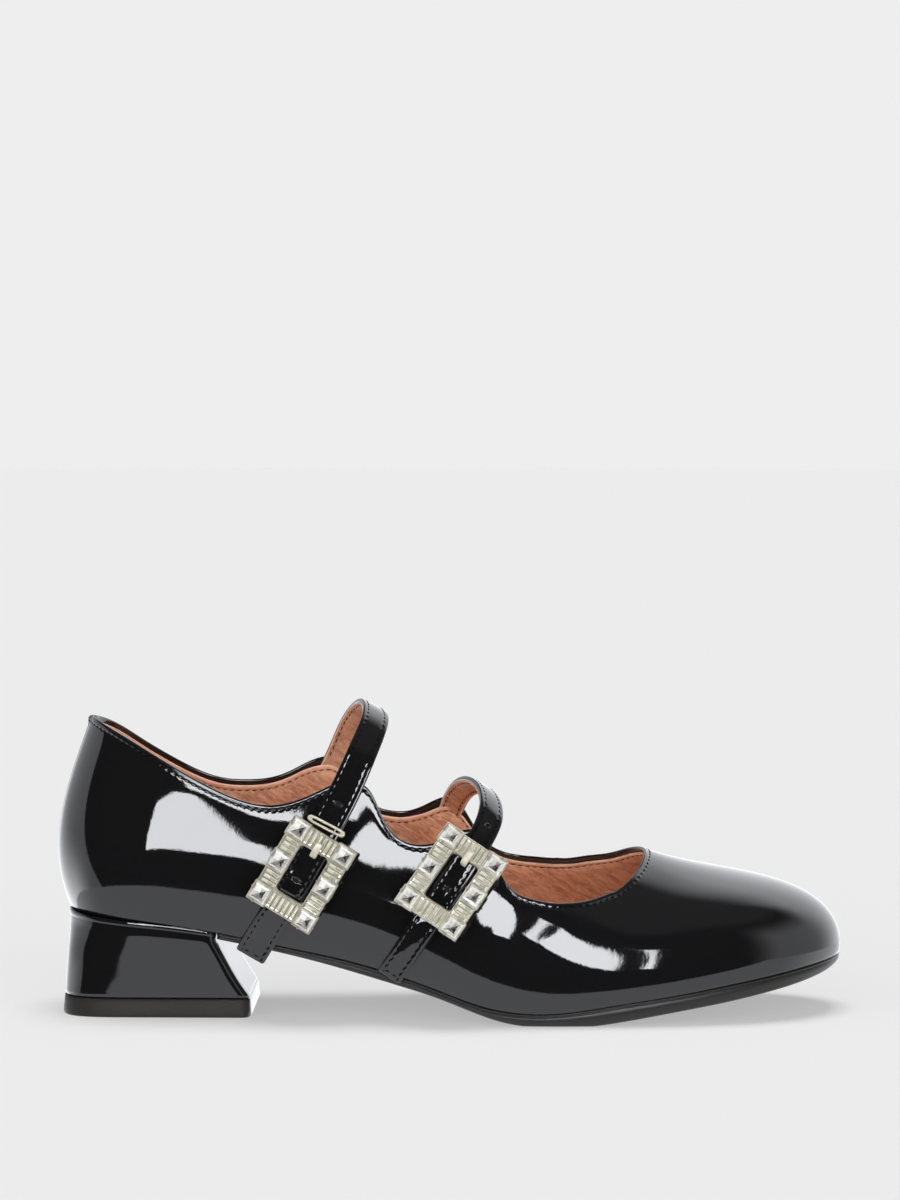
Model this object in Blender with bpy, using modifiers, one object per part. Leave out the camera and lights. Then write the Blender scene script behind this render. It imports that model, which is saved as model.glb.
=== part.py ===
"""A two-strap shoe on a low block heel, for the right foot, at its real size.

+X runs to the toe, -Y to the outer (buckle) side and +Z up. The origin is the middle
of the heel's tread. Sizes are in millimetres and become metres where a mesh is made.
"""

import math
from collections import namedtuple

import bmesh
import bpy
import numpy as np
from mathutils import Matrix, Vector
from mathutils.bvhtree import BVHTree

MM = 0.001
WELD = 1e-6                 # metres: corners nearer than this are one corner
GAP = 0.3                   # clearance between pieces that touch on the real shoe

# ------------------------------------------------------------------ driving sizes

WALL = 1.8                  # patent outer and lining together
INSOLE_THICK = 2.0
INSOLE_INSET = WALL + 0.6
INSOLE_LIFT = 0.1            # over the feather line
LIFT_HEIGHT = 5.7           # rubber top lift
SOLE_START = 20.0           # the outsole butts against the heel's breast
SEAT_HEIGHT = 29.65         # the line that the heel block's top keeps under, at x = 0
SEAT_FALL = 0.1143          # and its fall towards the toe

STRAP_THICK = 2.0
STRAP_SEAT = 0.4            # lining of the strap to the upper's face

BUCKLE_LENGTH = 29.9        # along the strap
BUCKLE_WIDTH = 23.1
WINDOW_LENGTH = 16.1
WINDOW_WIDTH = 9.8
BUCKLE_THICK = 3.4          # frame with its stone settings
FRAME_ROUNDING = 0.7
WIRE_RADIUS = 0.7           # prongs and keeper
KEEPER_ABOVE = 14.4         # height of the rear strap's keeper over its buckle's middle
BUCKLE_SHIFT = {"rear": 0.7, "front": 0.0}      # of the buckle across its strap

COLUMNS = 144               # faces round the upper
ROWS = 7                    # faces up its wall


# ------------------------------------------------------------------ smooth curves

class Curve:
    """A cubic curve with smooth curvature through rows of values at rising knots."""

    def __init__(self, knots, values, closed=False):
        self.knots = np.asarray(knots, float)
        self.values = np.asarray(values, float)
        count = len(self.knots)
        step = np.diff(self.knots)
        slope = (np.diff(self.values, axis=0).T / step).T
        system = np.eye(count)
        jump = np.zeros_like(self.values)
        for i in range(1, count - 1):
            system[i, i - 1:i + 2] = step[i - 1], 2 * (step[i - 1] + step[i]), step[i]
            jump[i] = 6 * (slope[i] - slope[i - 1])
        if closed:
            system[0, -1] = -1
            system[-1, -2] = step[-1]
            system[-1, -1] = 2 * (step[-1] + step[0])
            system[-1, 1] = step[0]
            jump[-1] = 6 * (slope[0] - slope[-1])
        self.bend = np.linalg.solve(system, jump.reshape(count, -1)).reshape(self.values.shape)

    def __call__(self, at):
        at = np.clip(at, self.knots[0], self.knots[-1])
        i = np.clip(np.searchsorted(self.knots, at, side="right") - 1, 0, len(self.knots) - 2)
        step = self.knots[i + 1] - self.knots[i]
        far = (at - self.knots[i]) / step
        near = 1 - far
        bends = np.array([near ** 3 - near, far ** 3 - far]) * step ** 2 / 6
        near, far, low, high = (weight.reshape(weight.shape + (1,) * (self.values.ndim - 1))
                                for weight in (near, far, bends[0], bends[1]))
        return near * self.values[i] + far * self.values[i + 1] + low * self.bend[i] + high * self.bend[i + 1]


def profile(*points):
    """A height, or a thickness, as a smooth function of x."""
    along, height = zip(*points)
    return Curve(along, height)


def chords(points):
    """Running length along a row of points, from 0 to 1."""
    lengths = np.linalg.norm(np.diff(points, axis=0), axis=1)
    run = np.concatenate([[0.0], np.cumsum(lengths)])
    return run / run[-1]


# ------------------------------------------------------------------ lines of the last

# (x, z) of the feather line, where the upper meets what it stands on
feather = profile((-28.7, 33.0), (-15, 31.6), (5, 29.5), (18, 27.6), (38, 23.6), (54, 20.4), (70, 16.6),
                  (80, 13.6), (90, 10.3), (98, 7.5), (105, 5.5), (113, 4.3), (121, 3.9), (128, 4.2),
                  (135, 5.0), (143, 6.2), (153, 7.7), (167, 9.8), (180, 12.0), (193, 14.2), (204, 16.0),
                  (214, 17.4), (218.4, 17.9))

# (x, z) of the outsole's underside; below zero it is the tread, which is flat on the floor
tread_line = profile((18, 25.6), (37, 21.8), (45, 20.0), (58, 16.7), (70, 13.4), (79, 10.9), (90, 7.7),
                     (96, 5.6), (103, 3.1), (109, 1.3), (115, 0.2), (121, -0.3), (129, -0.4), (137, -0.1),
                     (144, 0.7), (154, 2.3), (167, 4.5), (180, 6.7), (193, 9.2), (204, 11.5), (214, 14.1),
                     (218.4, 15.6))

# (x, z) of the topline on the outer and on the inner side, with the two tabs that carry the straps
outer_topline = profile((-21.5, 94), (-15.3, 91.6), (-8, 88.2), (1.5, 83.0), (11.5, 77.3), (21, 72.5),
                        (30, 69.2), (37.5, 68.3), (46.5, 70.3), (54, 73.6), (60.5, 75.9), (65, 75.2),
                        (69.2, 71.8), (72, 65.6), (75.2, 60.4), (79, 57.5), (84, 56.4), (89, 57.0),
                        (94, 59.2), (99, 61.0), (103.5, 59.0), (107, 52.5), (112, 43.9), (118.5, 40.2),
                        (125, 38.8), (131, 38.6), (137.5, 39.2), (144, 40.9))
inner_topline = profile((-21.5, 94), (-15.3, 90.2), (-8, 84.7), (-0.5, 79.6), (7.5, 75.0), (17, 71.3),
                        (27, 70.5), (34, 71.2), (40.5, 73.5), (46.5, 76.6), (52, 78.2), (57, 76.4),
                        (62, 69.0), (67, 62.6), (73, 60.2), (78, 60.0), (84, 62.0), (89, 64.4), (93, 64.8),
                        (97, 61.2), (102, 52.6), (108.5, 47.0), (118.5, 45.1), (126, 44.8))
THROAT = {-1: 143.5, 1: 127.0}      # past this x, on each side, the ribs end on the topline

Rib = namedtuple("Rib", "foot_x foot_y top_x top_y top_z swell dome")
RIBS = [
    #   foot x  foot y  top x  top y  top z  swell dome     the last's sections, each from the feather
    Rib(-28.7, 0.0, -21.0, 0.0, 96.0, 6.2, 0.0),        # line to the top: back seam
    Rib(-24.2, -15.6, -15.5, -13.0, 94.5, 5.6, 0.0),
    Rib(-12.0, -23.6, -3.0, -22.3, 91.5, 5.0, 0.0),     # heel seat, outer side
    Rib(8.0, -25.6, 14.0, -26.4, 87.0, 4.8, 0.0),
    Rib(32.0, -26.6, 37.0, -27.4, 82.0, 5.6, 0.0),
    Rib(58.0, -28.4, 60.0, -27.6, 77.5, 6.4, 0.0),      # waist
    Rib(84.0, -32.6, 82.0, -27.4, 71.0, 6.0, 0.1),
    Rib(106.0, -38.0, 102.0, -27.6, 63.5, 4.6, 0.2),
    Rib(124.0, -40.0, 119.0, -29.2, 53.0, 3.4, 0.3),    # ball
    Rib(142.0, -39.2, 134.0, -29.6, 44.0, 2.8, 0.42),
    Rib(161.0, -37.2, 144.0, -26.4, 40.9, 2.4, 0.6),
    Rib(180.0, -33.4, 149.8, -20.4, 43.8, 2.2, 0.8),
    Rib(198.0, -26.6, 153.2, -13.0, 46.9, 2.1, 0.92),
    Rib(212.0, -14.0, 155.0, -5.6, 49.6, 2.0, 0.98),
    Rib(218.0, 2.0, 155.4, 2.2, 51.0, 1.9, 1.0),        # toe
    Rib(215.6, 16.0, 154.0, 9.8, 51.0, 2.0, 0.98),
    Rib(205.0, 26.6, 150.2, 17.2, 49.7, 2.1, 0.9),
    Rib(188.0, 33.0, 144.2, 23.2, 47.3, 2.3, 0.76),
    Rib(167.0, 37.0, 136.4, 27.4, 45.8, 2.6, 0.56),
    Rib(147.0, 38.8, 127.4, 29.6, 45.0, 3.0, 0.4),
    Rib(130.0, 38.2, 117.0, 30.6, 49.6, 3.8, 0.3),      # ball, inner side
    Rib(112.0, 33.6, 105.0, 29.8, 58.5, 5.4, 0.2),
    Rib(92.0, 27.2, 90.0, 28.0, 70.0, 8.0, 0.1),
    Rib(68.0, 23.0, 68.0, 27.4, 78.0, 9.6, 0.0),        # arch
    Rib(44.0, 22.6, 46.0, 27.2, 83.5, 8.4, 0.0),
    Rib(18.0, 24.4, 22.0, 26.8, 87.0, 6.2, 0.0),
    Rib(-10.0, 24.0, -1.0, 23.0, 91.0, 5.0, 0.0),
    Rib(-24.0, 15.8, -15.2, 13.2, 94.4, 5.6, 0.0),
]
TOE_RIB = 14
HEEL_BACK = RIBS[0].foot_x

# how far in, how far out and how high the middle points of a rib's curve lie
RIB_IN = (0.0, 0.1, 0.64)          # share of the way from foot to top
RIB_OUT = (1.1, 0.9, 0.4)           # share of the swell
WALL_RISE = (0.25, 0.5, 0.75)       # share of the height on a side wall
DOME_RISE = (0.3, 0.866, 0.694)     # and over the toe


def last_sections():
    """The ribs' columns as one closed curve round the shoe, and where the toe lies on it."""
    rows = np.array(RIBS + RIBS[:1], float)
    foot, top = rows[:, 0:2], rows[:, 2:4]
    around = (chords(foot) + chords(top)) / 2
    outline = Curve(around, foot, closed=True)
    ahead = outline((around + 1e-4) % 1.0) - outline((around - 1e-4) % 1.0)
    outward = np.stack([ahead[:, 1], -ahead[:, 0]], axis=1)
    outward /= np.linalg.norm(outward, axis=1)[:, None]
    swell = outward * rows[:, 5:6]
    columns = np.hstack([rows[:, 0:5], swell, rows[:, 6:7]])
    columns[-1] = columns[0]
    return Curve(around, columns, closed=True), around[TOE_RIB]


SECTIONS, TOE = last_sections()


def upper_face(around, up):
    """Points of the upper's outer face; both shares run from 0 to 1 and may be arrays."""
    around, up = np.broadcast_arrays(np.asarray(around, float), np.asarray(up, float))
    columns = np.moveaxis(SECTIONS(around % 1.0), -1, 0)
    foot_x, foot_y, top_x, top_y, top_z, swell_x, swell_y, dome = columns
    foot = np.stack([foot_x, foot_y, feather(foot_x)], axis=-1)
    reach = np.stack([top_x, top_y, top_z], axis=-1) - foot
    weights = [math.comb(4, k) * up ** k * (1 - up) ** (4 - k) for k in range(5)]
    point = foot + reach * weights[4][..., None]
    for k, (inward, out, wall, domed) in enumerate(zip(RIB_IN, RIB_OUT, WALL_RISE, DOME_RISE), start=1):
        rise = wall + (domed - wall) * dome
        offset = np.stack([reach[..., 0] * inward + swell_x * out,
                           reach[..., 1] * inward + swell_y * out,
                           reach[..., 2] * rise], axis=-1)
        point = point + offset * weights[k][..., None]
    return point


def topline_shares(stations):
    """How far up its rib the upper is cut, at each station round the shoe."""
    tops = upper_face(stations, 1.0)
    side = np.where(tops[:, 1] < 0, -1, 1)

    def above(up):
        at = upper_face(stations, up)
        line = np.where(side < 0, outer_topline(at[:, 0]), inner_topline(at[:, 0]))
        return at[:, 2] - line

    low, high = np.full(len(stations), 0.4), np.ones(len(stations))
    for _ in range(30):
        middle = (low + high) / 2
        over = above(middle) > 0
        high = np.where(over, middle, high)
        low = np.where(over, low, middle)
    limit = np.where(side < 0, THROAT[-1], THROAT[1])
    shares = np.where((above(1.0) <= 0) | (tops[:, 0] > limit), 1.0, high)
    for _ in range(2):
        shares = (np.roll(shares, 1) + 2 * shares + np.roll(shares, -1)) / 4
    return shares


def foot_outline(around, inset=0.0):
    """The feather line's outline in plan, moved inwards by a set distance."""
    step = 1e-4
    at = SECTIONS(around % 1.0)[..., 0:2]
    ahead = (SECTIONS((around + step) % 1.0) - SECTIONS((around - step) % 1.0))[..., 0:2]
    inward = np.stack([-ahead[..., 1], ahead[..., 0]], axis=-1)
    return at + inward / np.linalg.norm(inward, axis=-1)[..., None] * inset


# ------------------------------------------------------------------ mesh helpers

for leftover in list(bpy.data.objects):
    bpy.data.objects.remove(leftover)
shoe = bpy.data.collections.new("two_strap_shoe")
bpy.context.scene.collection.children.link(shoe)


def material(name, colour, roughness, metallic=0.0, coat=0.0):
    made = bpy.data.materials.new(name)
    made.use_nodes = True
    shader = made.node_tree.nodes["Principled BSDF"]
    shader.inputs["Base Color"].default_value = (*colour, 1.0)
    shader.inputs["Roughness"].default_value = roughness
    shader.inputs["Metallic"].default_value = metallic
    shader.inputs["Coat Weight"].default_value = coat
    return made


patent = material("black_patent", (0.008, 0.008, 0.009), 0.06, coat=1.0)
lining = material("tan_lining", (0.56, 0.33, 0.24), 0.5)
sole_black = material("satin_sole", (0.012, 0.012, 0.013), 0.38)
rubber = material("lift_rubber", (0.014, 0.014, 0.015), 0.5)
crystal_metal = material("stone_set_metal", (0.78, 0.74, 0.66), 0.2, metallic=1.0)
pale_gold = material("pale_gold", (0.86, 0.78, 0.62), 0.22, metallic=1.0)


def add_object(name, mesh_or_curve, finish):
    made = bpy.data.objects.new(name, mesh_or_curve)
    mesh_or_curve.materials.append(finish)
    shoe.objects.link(made)
    return made


def add_mesh(name, built, finish):
    """Turns a bmesh in millimetres into a named object in metres."""
    bmesh.ops.scale(built, vec=(MM, MM, MM), verts=built.verts)
    bmesh.ops.remove_doubles(built, verts=built.verts, dist=WELD)
    mesh = bpy.data.meshes.new(name)
    built.to_mesh(mesh)
    built.free()
    return add_object(name, mesh, finish)


def sheet(columns, rows, corners):
    """A grid of faces; corners is an array of points, one row of them for each row of the grid."""
    grid = bmesh.new()
    bmesh.ops.create_grid(grid, x_segments=columns, y_segments=rows, size=0.5)
    for corner in grid.verts:
        column = round((corner.co.x + 0.5) * columns)
        row = round((corner.co.y + 0.5) * rows)
        corner.co = corners[row][column]
    bmesh.ops.remove_doubles(grid, verts=grid.verts, dist=WELD / MM)
    return grid


def add_wall(piece, thickness, side):
    """Gives an open sheet its thickness: side 1 grows it outwards, -1 inwards."""
    wall = piece.modifiers.new("wall", "SOLIDIFY")
    wall.thickness = thickness * MM
    wall.offset = side
    return wall


def slab(name, columns, top, drop, finish):
    """A plate with the given top points and the given points beneath each of them."""
    plate = sheet(columns, len(top) - 1, top)
    under = sheet(columns, len(drop) - 1, drop)
    bmesh.ops.reverse_faces(under, faces=under.faces)
    lower = bpy.data.meshes.new(name + "_under")
    under.to_mesh(lower)
    under.free()
    plate.from_mesh(lower)
    bpy.data.meshes.remove(lower)
    rims = [edge for edge in plate.edges if edge.is_boundary]
    bmesh.ops.bridge_loops(plate, edges=rims)
    bmesh.ops.recalc_face_normals(plate, faces=plate.faces)
    return add_mesh(name, plate, finish)


# ------------------------------------------------------------------ upper

def make_upper():
    stations = np.linspace(0.0, 1.0, COLUMNS + 1)
    shares = topline_shares(stations[:-1])
    shares = np.append(shares, shares[0])
    corners = [upper_face(stations, shares * row / ROWS) for row in range(ROWS + 1)]
    piece = add_mesh("upper", sheet(COLUMNS, ROWS, corners), patent)
    add_wall(piece, WALL, -1)
    return piece


# ------------------------------------------------------------------ insole and outsole

def station_at(x, low, high):
    """Where the feather outline passes x, between two stations round the shoe."""
    stations = np.linspace(low, high, 4001)
    return stations[np.argmin(abs(SECTIONS(stations)[:, 0] - x))]


def rungs(count, start, inset, across):
    """Points across the sole, from start to the toe, between matching places of its two edges."""
    outer_side = station_at(start, 0.02, TOE)
    inner_side = station_at(start, TOE, 0.98)
    share = np.linspace(0.0, 1.0, count + 1)
    left = foot_outline(outer_side + (TOE - outer_side) * share, inset)
    right = foot_outline(inner_side + (TOE - inner_side) * share, inset)
    mix = np.linspace(0.0, 1.0, across + 1)[None, :, None]
    return left[:, None] * (1 - mix) + right[:, None] * mix


def lift_to(plan, height):
    return np.concatenate([plan, height(plan[..., 0])[..., None]], axis=-1)


def make_insole():
    plan = rungs(44, HEEL_BACK, INSOLE_INSET, 4)[1:]
    under = lift_to(plan, lambda x: feather(x) + INSOLE_LIFT)
    top = lift_to(plan, lambda x: feather(x) + INSOLE_LIFT + INSOLE_THICK)
    return slab("insole", 4, top, under, lining)


def tread(x):
    """Underside of the outsole; it is flat on the floor under the ball."""
    return np.maximum(tread_line(x), 0.0)


def make_outsole():
    top = lift_to(rungs(52, SOLE_START, 0.1, 4), lambda x: feather(x) - GAP)
    under = lift_to(rungs(52, SOLE_START, 0.9, 4), tread)
    return slab("outsole", 4, top, under, sole_black)


# ------------------------------------------------------------------ heel

Level = namedtuple("Level", "rise back front half_width squareness")
BLOCK_LEVELS = [
    #     rise   back   front  half width, squareness: rise is a share of the way from the lift to the seat
    Level(0.0, -29.9, 30.0, 22.4, 4.2),
    Level(0.45, -29.2, 24.2, 24.0, 3.6),
    Level(0.86, -28.6, 19.4, 25.6, 2.8),
    Level(0.93, -29.4, 19.0, 26.5, 2.6),
    Level(1.0, -29.3, 18.2, 26.4, 2.5),
]
LIFT_LEVELS = [Level(0.0, -30.5, 30.5, 23.6, 4.4), Level(1.0, -30.0, 30.1, 22.6, 4.4)]
BREAST_CORNER = 1.6


def heel_ring(level, height):
    """A D in plan: a squared round at the back, straight sides and a straight breast."""
    ring = []
    for turn in np.linspace(-90.0, 90.0, 25):
        cosine, sine = math.cos(math.radians(turn)), math.sin(math.radians(turn))
        x = level.back * abs(cosine) ** (2 / level.squareness)
        y = level.half_width * math.copysign(abs(sine) ** (2 / level.squareness), sine)
        ring.append((x, y))
    side, front = level.half_width, level.front
    ring += [(front - BREAST_CORNER, side), (front, side - BREAST_CORNER),
             (front, BREAST_CORNER - side), (front - BREAST_CORNER, -side)]
    return [(x, y, height(x, level.rise)) for x, y in ring + ring[:1]]


def make_heel(name, levels, height, finish):
    rings = [heel_ring(level, height) for level in levels]
    body = sheet(len(rings[0]) - 1, len(rings) - 1, rings)
    bmesh.ops.holes_fill(body, edges=[edge for edge in body.edges if edge.is_boundary], sides=0)
    bmesh.ops.recalc_face_normals(body, faces=body.faces)
    return add_mesh(name, body, finish)


def block_height(x, rise):
    bottom = LIFT_HEIGHT + GAP
    seat = SEAT_HEIGHT - GAP - SEAT_FALL * x
    return bottom + (seat - bottom) * rise


def lift_height(x, rise):
    return LIFT_HEIGHT * rise


# ------------------------------------------------------------------ straps

def surface_tree():
    """The upper's outer face up to the tops of its ribs, for pieces that lie on it."""
    stations = np.linspace(0.0, 1.0, 361)
    corners = [upper_face(stations, row / 30) for row in range(31)]
    face = sheet(360, 30, corners)
    tree = BVHTree.FromBMesh(face)
    face.free()
    return tree


TREE = surface_tree()


CAST_FROM = 90.0            # well outside the outer side, where rays towards it start


def on_outer_side(x, z, stand_off):
    """A point off the outer side's face, at an x and a height; below the wall it hangs straight down."""
    level = max(z, float(feather(x)) + 1.0)
    hit, normal, _, _ = TREE.ray_cast(Vector((x, -CAST_FROM, level)), Vector((0, 1, 0)))
    if normal.y > 0:
        normal = -normal
    hit += normal * stand_off
    return np.array((hit.x, hit.y, hit.z + z - level))


def inside_inner_side(x, z, stand_off):
    """A point inside the inner side's wall, at an x and a height."""
    hit, normal, _, _ = TREE.ray_cast(Vector((x, 0.0, z)), Vector((0, 1, 0)))
    if normal.y > 0:
        normal = -normal
    return np.array(hit + normal * (WALL + stand_off))


Strap = namedtuple("Strap", "name hang seated arch anchor lean widths buckle_height")
STRAPS = [
    # hang, seated and anchor are (x, z): the end below the sole's edge, what lies on the outer side and
    # what is sewn inside the inner side; arch is (x, y, z) over the instep; widths are theirs in turn
    Strap(name="rear", hang=[(30.4, 20.2)],
          seated=[(33.6, 25.6), (38.0, 33.0), (47.2, 47.6), (57.2, 66.0), (61.0, 73.4)],
          arch=[(66.4, -24.0, 86.0), (69.0, -13.6, 93.4), (67.4, 0.0, 95.9), (63.8, 12.6, 93.2),
                (60.6, 19.4, 88.2)],
          anchor=[(56.0, 77.6), (53.4, 72.4), (51.2, 67.6)],
          lean=29.5, widths=[10, 10, 10, 10, 10, 9.8, 9.2, 8.6, 8.2, 8.4, 8.6, 9, 9, 9], buckle_height=47.4),
    Strap(name="front", hang=[],
          seated=[(75.2, 15.8), (80.5, 24.0), (86.2, 32.6), (94.6, 44.8), (102.2, 56.2)],
          arch=[(105.2, -26.4, 62.2), (105.4, -15.8, 68.2), (101.6, -1.0, 70.8), (97.4, 10.6, 69.0),
                (94.6, 18.6, 65.2)],
          anchor=[(91.6, 58.6), (89.2, 53.0)],
          lean=32.0, widths=[8.2] * 12, buckle_height=44.5),
]


class Ribbon:
    """A strap's lining face: three smooth edges, from its cut end over the instep to its anchor."""

    def __init__(self, strap):
        lean = math.radians(strap.lean)
        across = np.array([math.cos(lean), 0.0, -math.sin(lean)])
        edges = []
        for side in (-0.5, 0.0, 0.5):
            widths = iter(strap.widths)
            line = []
            for x, z in strap.hang + strap.seated:
                shift = across * side * next(widths)
                line.append(on_outer_side(x + shift[0], z + shift[2], STRAP_SEAT))
            line += [np.array(point) + across * side * next(widths) for point in strap.arch]
            for x, z in strap.anchor:
                shift = across * side * next(widths)
                line.append(inside_inner_side(x + shift[0], z + shift[2], GAP + STRAP_THICK))
            edges.append(line)
        self.edges = np.array(edges)
        self.run = chords(self.edges[1])
        self.curve = Curve(self.run, np.moveaxis(self.edges, 0, 1))

    def frame_at(self, height):
        """Middle, across, along and outward directions where the outer side passes a height."""
        shares = np.linspace(0.0, 0.6, 2001)
        share = shares[np.argmin(abs(self.curve(shares)[:, 1, 2] - height))]
        back, middle, front = self.curve(share)
        ahead = self.curve(share + 0.01)[1] - self.curve(share - 0.01)[1]
        along = Vector(ahead).normalized()
        across = Vector(front - back)
        outward = across.cross(along).normalized()
        across = along.cross(outward).normalized()
        return Vector(middle), across, along, outward


def make_strap(strap, ribbon):
    shares = np.linspace(0.0, 1.0, 61)
    rows = ribbon.curve(shares)
    piece = add_mesh("strap_" + strap.name, sheet(2, 60, rows), patent)
    add_wall(piece, STRAP_THICK, 1)
    return piece


# ------------------------------------------------------------------ buckles

def seat_matrix(ribbon, height, shift):
    """Where a flat buckle rests on its strap: x across, y along the strap, z outwards."""
    middle, across, along, outward = ribbon.frame_at(height)
    under = ribbon.curve(np.linspace(0.0, 0.7, 141)).reshape(-1, 3)
    offsets = [Vector(point) - middle for point in under]
    beneath = [step.dot(outward) for step in offsets if abs(step.dot(along)) < BUCKLE_LENGTH / 2]
    rest = max(beneath) + STRAP_THICK + GAP
    placed = Matrix((across, along, outward)).transposed().to_4x4()
    placed.translation = middle + outward * rest + across * shift
    return placed


def make_buckle(strap, seat):
    ends = [(-BUCKLE_WIDTH / 2, -WINDOW_WIDTH / 2, WINDOW_WIDTH / 2, BUCKLE_WIDTH / 2),
            (-BUCKLE_LENGTH / 2, -WINDOW_LENGTH / 2, WINDOW_LENGTH / 2, BUCKLE_LENGTH / 2)]
    corners = [[(x, y, 0.0) for x in ends[0]] for y in ends[1]]
    ring = sheet(3, 3, corners)
    window = min(ring.faces, key=lambda face: face.calc_center_median().length)
    bmesh.ops.delete(ring, geom=[window], context="FACES_ONLY")
    bmesh.ops.transform(ring, matrix=seat, verts=ring.verts)
    piece = add_mesh("buckle_frame_" + strap.name, ring, crystal_metal)
    add_wall(piece, BUCKLE_THICK, 1)
    rounding = piece.modifiers.new("rounding", "BEVEL")
    rounding.width = FRAME_ROUNDING * MM
    rounding.segments = 1
    rounding.limit_method = "ANGLE"
    return piece


def add_wire(name, points, placed):
    """A round gold wire through a few points given in a buckle's own axes."""
    curve = bpy.data.curves.new(name, "CURVE")
    curve.dimensions = "3D"
    curve.bevel_depth = WIRE_RADIUS * MM
    curve.bevel_resolution = 2
    curve.use_fill_caps = True
    spline = curve.splines.new("POLY")
    spline.points.add(len(points) - 1)
    for corner, point in zip(spline.points, points):
        corner.co = (*(placed @ Vector(point) * MM), 1.0)
    return add_object(name, curve, pale_gold)


def make_prong(strap, seat):
    """It leaves the strap's hole in the window and lies across the buckle's top bar."""
    over = BUCKLE_THICK + GAP + WIRE_RADIUS
    bar = WINDOW_LENGTH / 2
    points = [(0, bar - 2.2, 1.4), (0, bar - 1.3, over - 1.6), (0, bar - 0.3, over - 0.2),
              (0, bar + 1.0, over), (0, bar + 3.6, over), (0, BUCKLE_LENGTH / 2 - 0.4, over - 0.1)]
    return add_wire("buckle_prong_" + strap.name, points, seat)


def make_keeper(strap, ribbon):
    """A wire loop over the strap, just above the rear buckle."""
    middle, across, along, outward = ribbon.frame_at(strap.buckle_height + KEEPER_ABOVE)
    placed = Matrix((across, along, outward)).transposed().to_4x4()
    placed.translation = middle
    side = strap.widths[0] / 2 + WIRE_RADIUS + GAP
    over = STRAP_THICK + WIRE_RADIUS + GAP
    half = [(side, 0.0, 0.1), (side, 0.0, over - 1.0), (side - 0.3, 0.0, over - 0.3), (side - 1.0, 0.0, over)]
    points = [(-x, y, z) for x, y, z in half] + half[::-1]
    return add_wire("strap_keeper_" + strap.name, points, placed)


# ------------------------------------------------------------------ assembly

make_upper()
make_insole()
make_outsole()
make_heel("heel_block", BLOCK_LEVELS, block_height, patent)
make_heel("heel_top_lift", LIFT_LEVELS, lift_height, rubber)
for strap in STRAPS:
    ribbon = Ribbon(strap)
    make_strap(strap, ribbon)
    seat = seat_matrix(ribbon, strap.buckle_height, BUCKLE_SHIFT[strap.name])
    make_buckle(strap, seat)
    make_prong(strap, seat)
    if strap.name == "rear":
        make_keeper(strap, ribbon)
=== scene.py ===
# %% [markdown]
# # A patent shoe with two buckled straps
# This lesson dresses a packed shoe model. The solids that come with it are plain. Here each
# one gets the form and finish of the real piece: patent leather with rolled and stitched
# edges, a soft wrinkled lining, a satin sole and buckles set with cut stones.

import math
import random
from collections import namedtuple

import bmesh
import bpy
import numpy as np
from mathutils import Matrix, Vector
from mathutils.bvhtree import BVHTree


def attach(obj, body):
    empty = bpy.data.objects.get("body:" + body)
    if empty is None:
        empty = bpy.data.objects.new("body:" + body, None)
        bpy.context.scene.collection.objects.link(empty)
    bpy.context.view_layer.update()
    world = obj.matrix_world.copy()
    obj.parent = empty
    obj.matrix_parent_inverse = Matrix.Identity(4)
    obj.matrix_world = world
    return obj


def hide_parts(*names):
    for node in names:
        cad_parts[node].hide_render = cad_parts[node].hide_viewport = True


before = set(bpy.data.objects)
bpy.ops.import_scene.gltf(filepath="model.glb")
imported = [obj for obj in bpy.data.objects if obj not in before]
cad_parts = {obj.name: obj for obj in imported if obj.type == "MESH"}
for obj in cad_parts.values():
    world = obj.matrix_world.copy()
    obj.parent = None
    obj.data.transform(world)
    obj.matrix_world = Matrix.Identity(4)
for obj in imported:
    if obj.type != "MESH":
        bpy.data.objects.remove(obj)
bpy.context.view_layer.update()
MM = 0.001
print("solids:", ", ".join(sorted(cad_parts)))

# %% [markdown]
# ## Camera
# A long lens a little above the shoe, almost square to its outer side, keeps the lines of
# the sole and the topline nearly as a drawing would show them. It comes first, because the
# light is then set up round the same direction.

# %% Set up the camera
LENS = 122.0                # millimetres, on a sensor 36 mm along the frame's longer side
CAMERA_DISTANCE = 1300.0
CAMERA_AIM = (93.0, 0.0, 131.0)
CAMERA_TURN = math.radians(1.0)
CAMERA_PITCH = math.radians(3.5)

camera = bpy.data.objects.new("camera", bpy.data.cameras.new("camera"))
bpy.context.scene.collection.objects.link(camera)
look = Vector((-math.sin(CAMERA_TURN) * math.cos(CAMERA_PITCH),
               math.cos(CAMERA_TURN) * math.cos(CAMERA_PITCH), -math.sin(CAMERA_PITCH)))
camera.location = (Vector(CAMERA_AIM) - look * CAMERA_DISTANCE) * MM
camera.rotation_euler = look.to_track_quat("-Z", "Y").to_euler()
camera.data.lens = LENS
camera.data.sensor_width = 36.0
camera.data.clip_start = 0.01
bpy.context.scene.camera = camera
bpy.context.scene.view_settings.view_transform = "Standard"
print("camera at", [round(value, 3) for value in camera.location])

# %% [markdown]
# ## Shader maths
# A finish is a network of nodes. Written as ordinary sums and products it stays readable, so
# a `Wire` wraps one socket, and its operators add the Math nodes. `Nodes.add` makes every
# other kind of node: its type first, then its settings, then what goes into its sockets.

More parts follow.
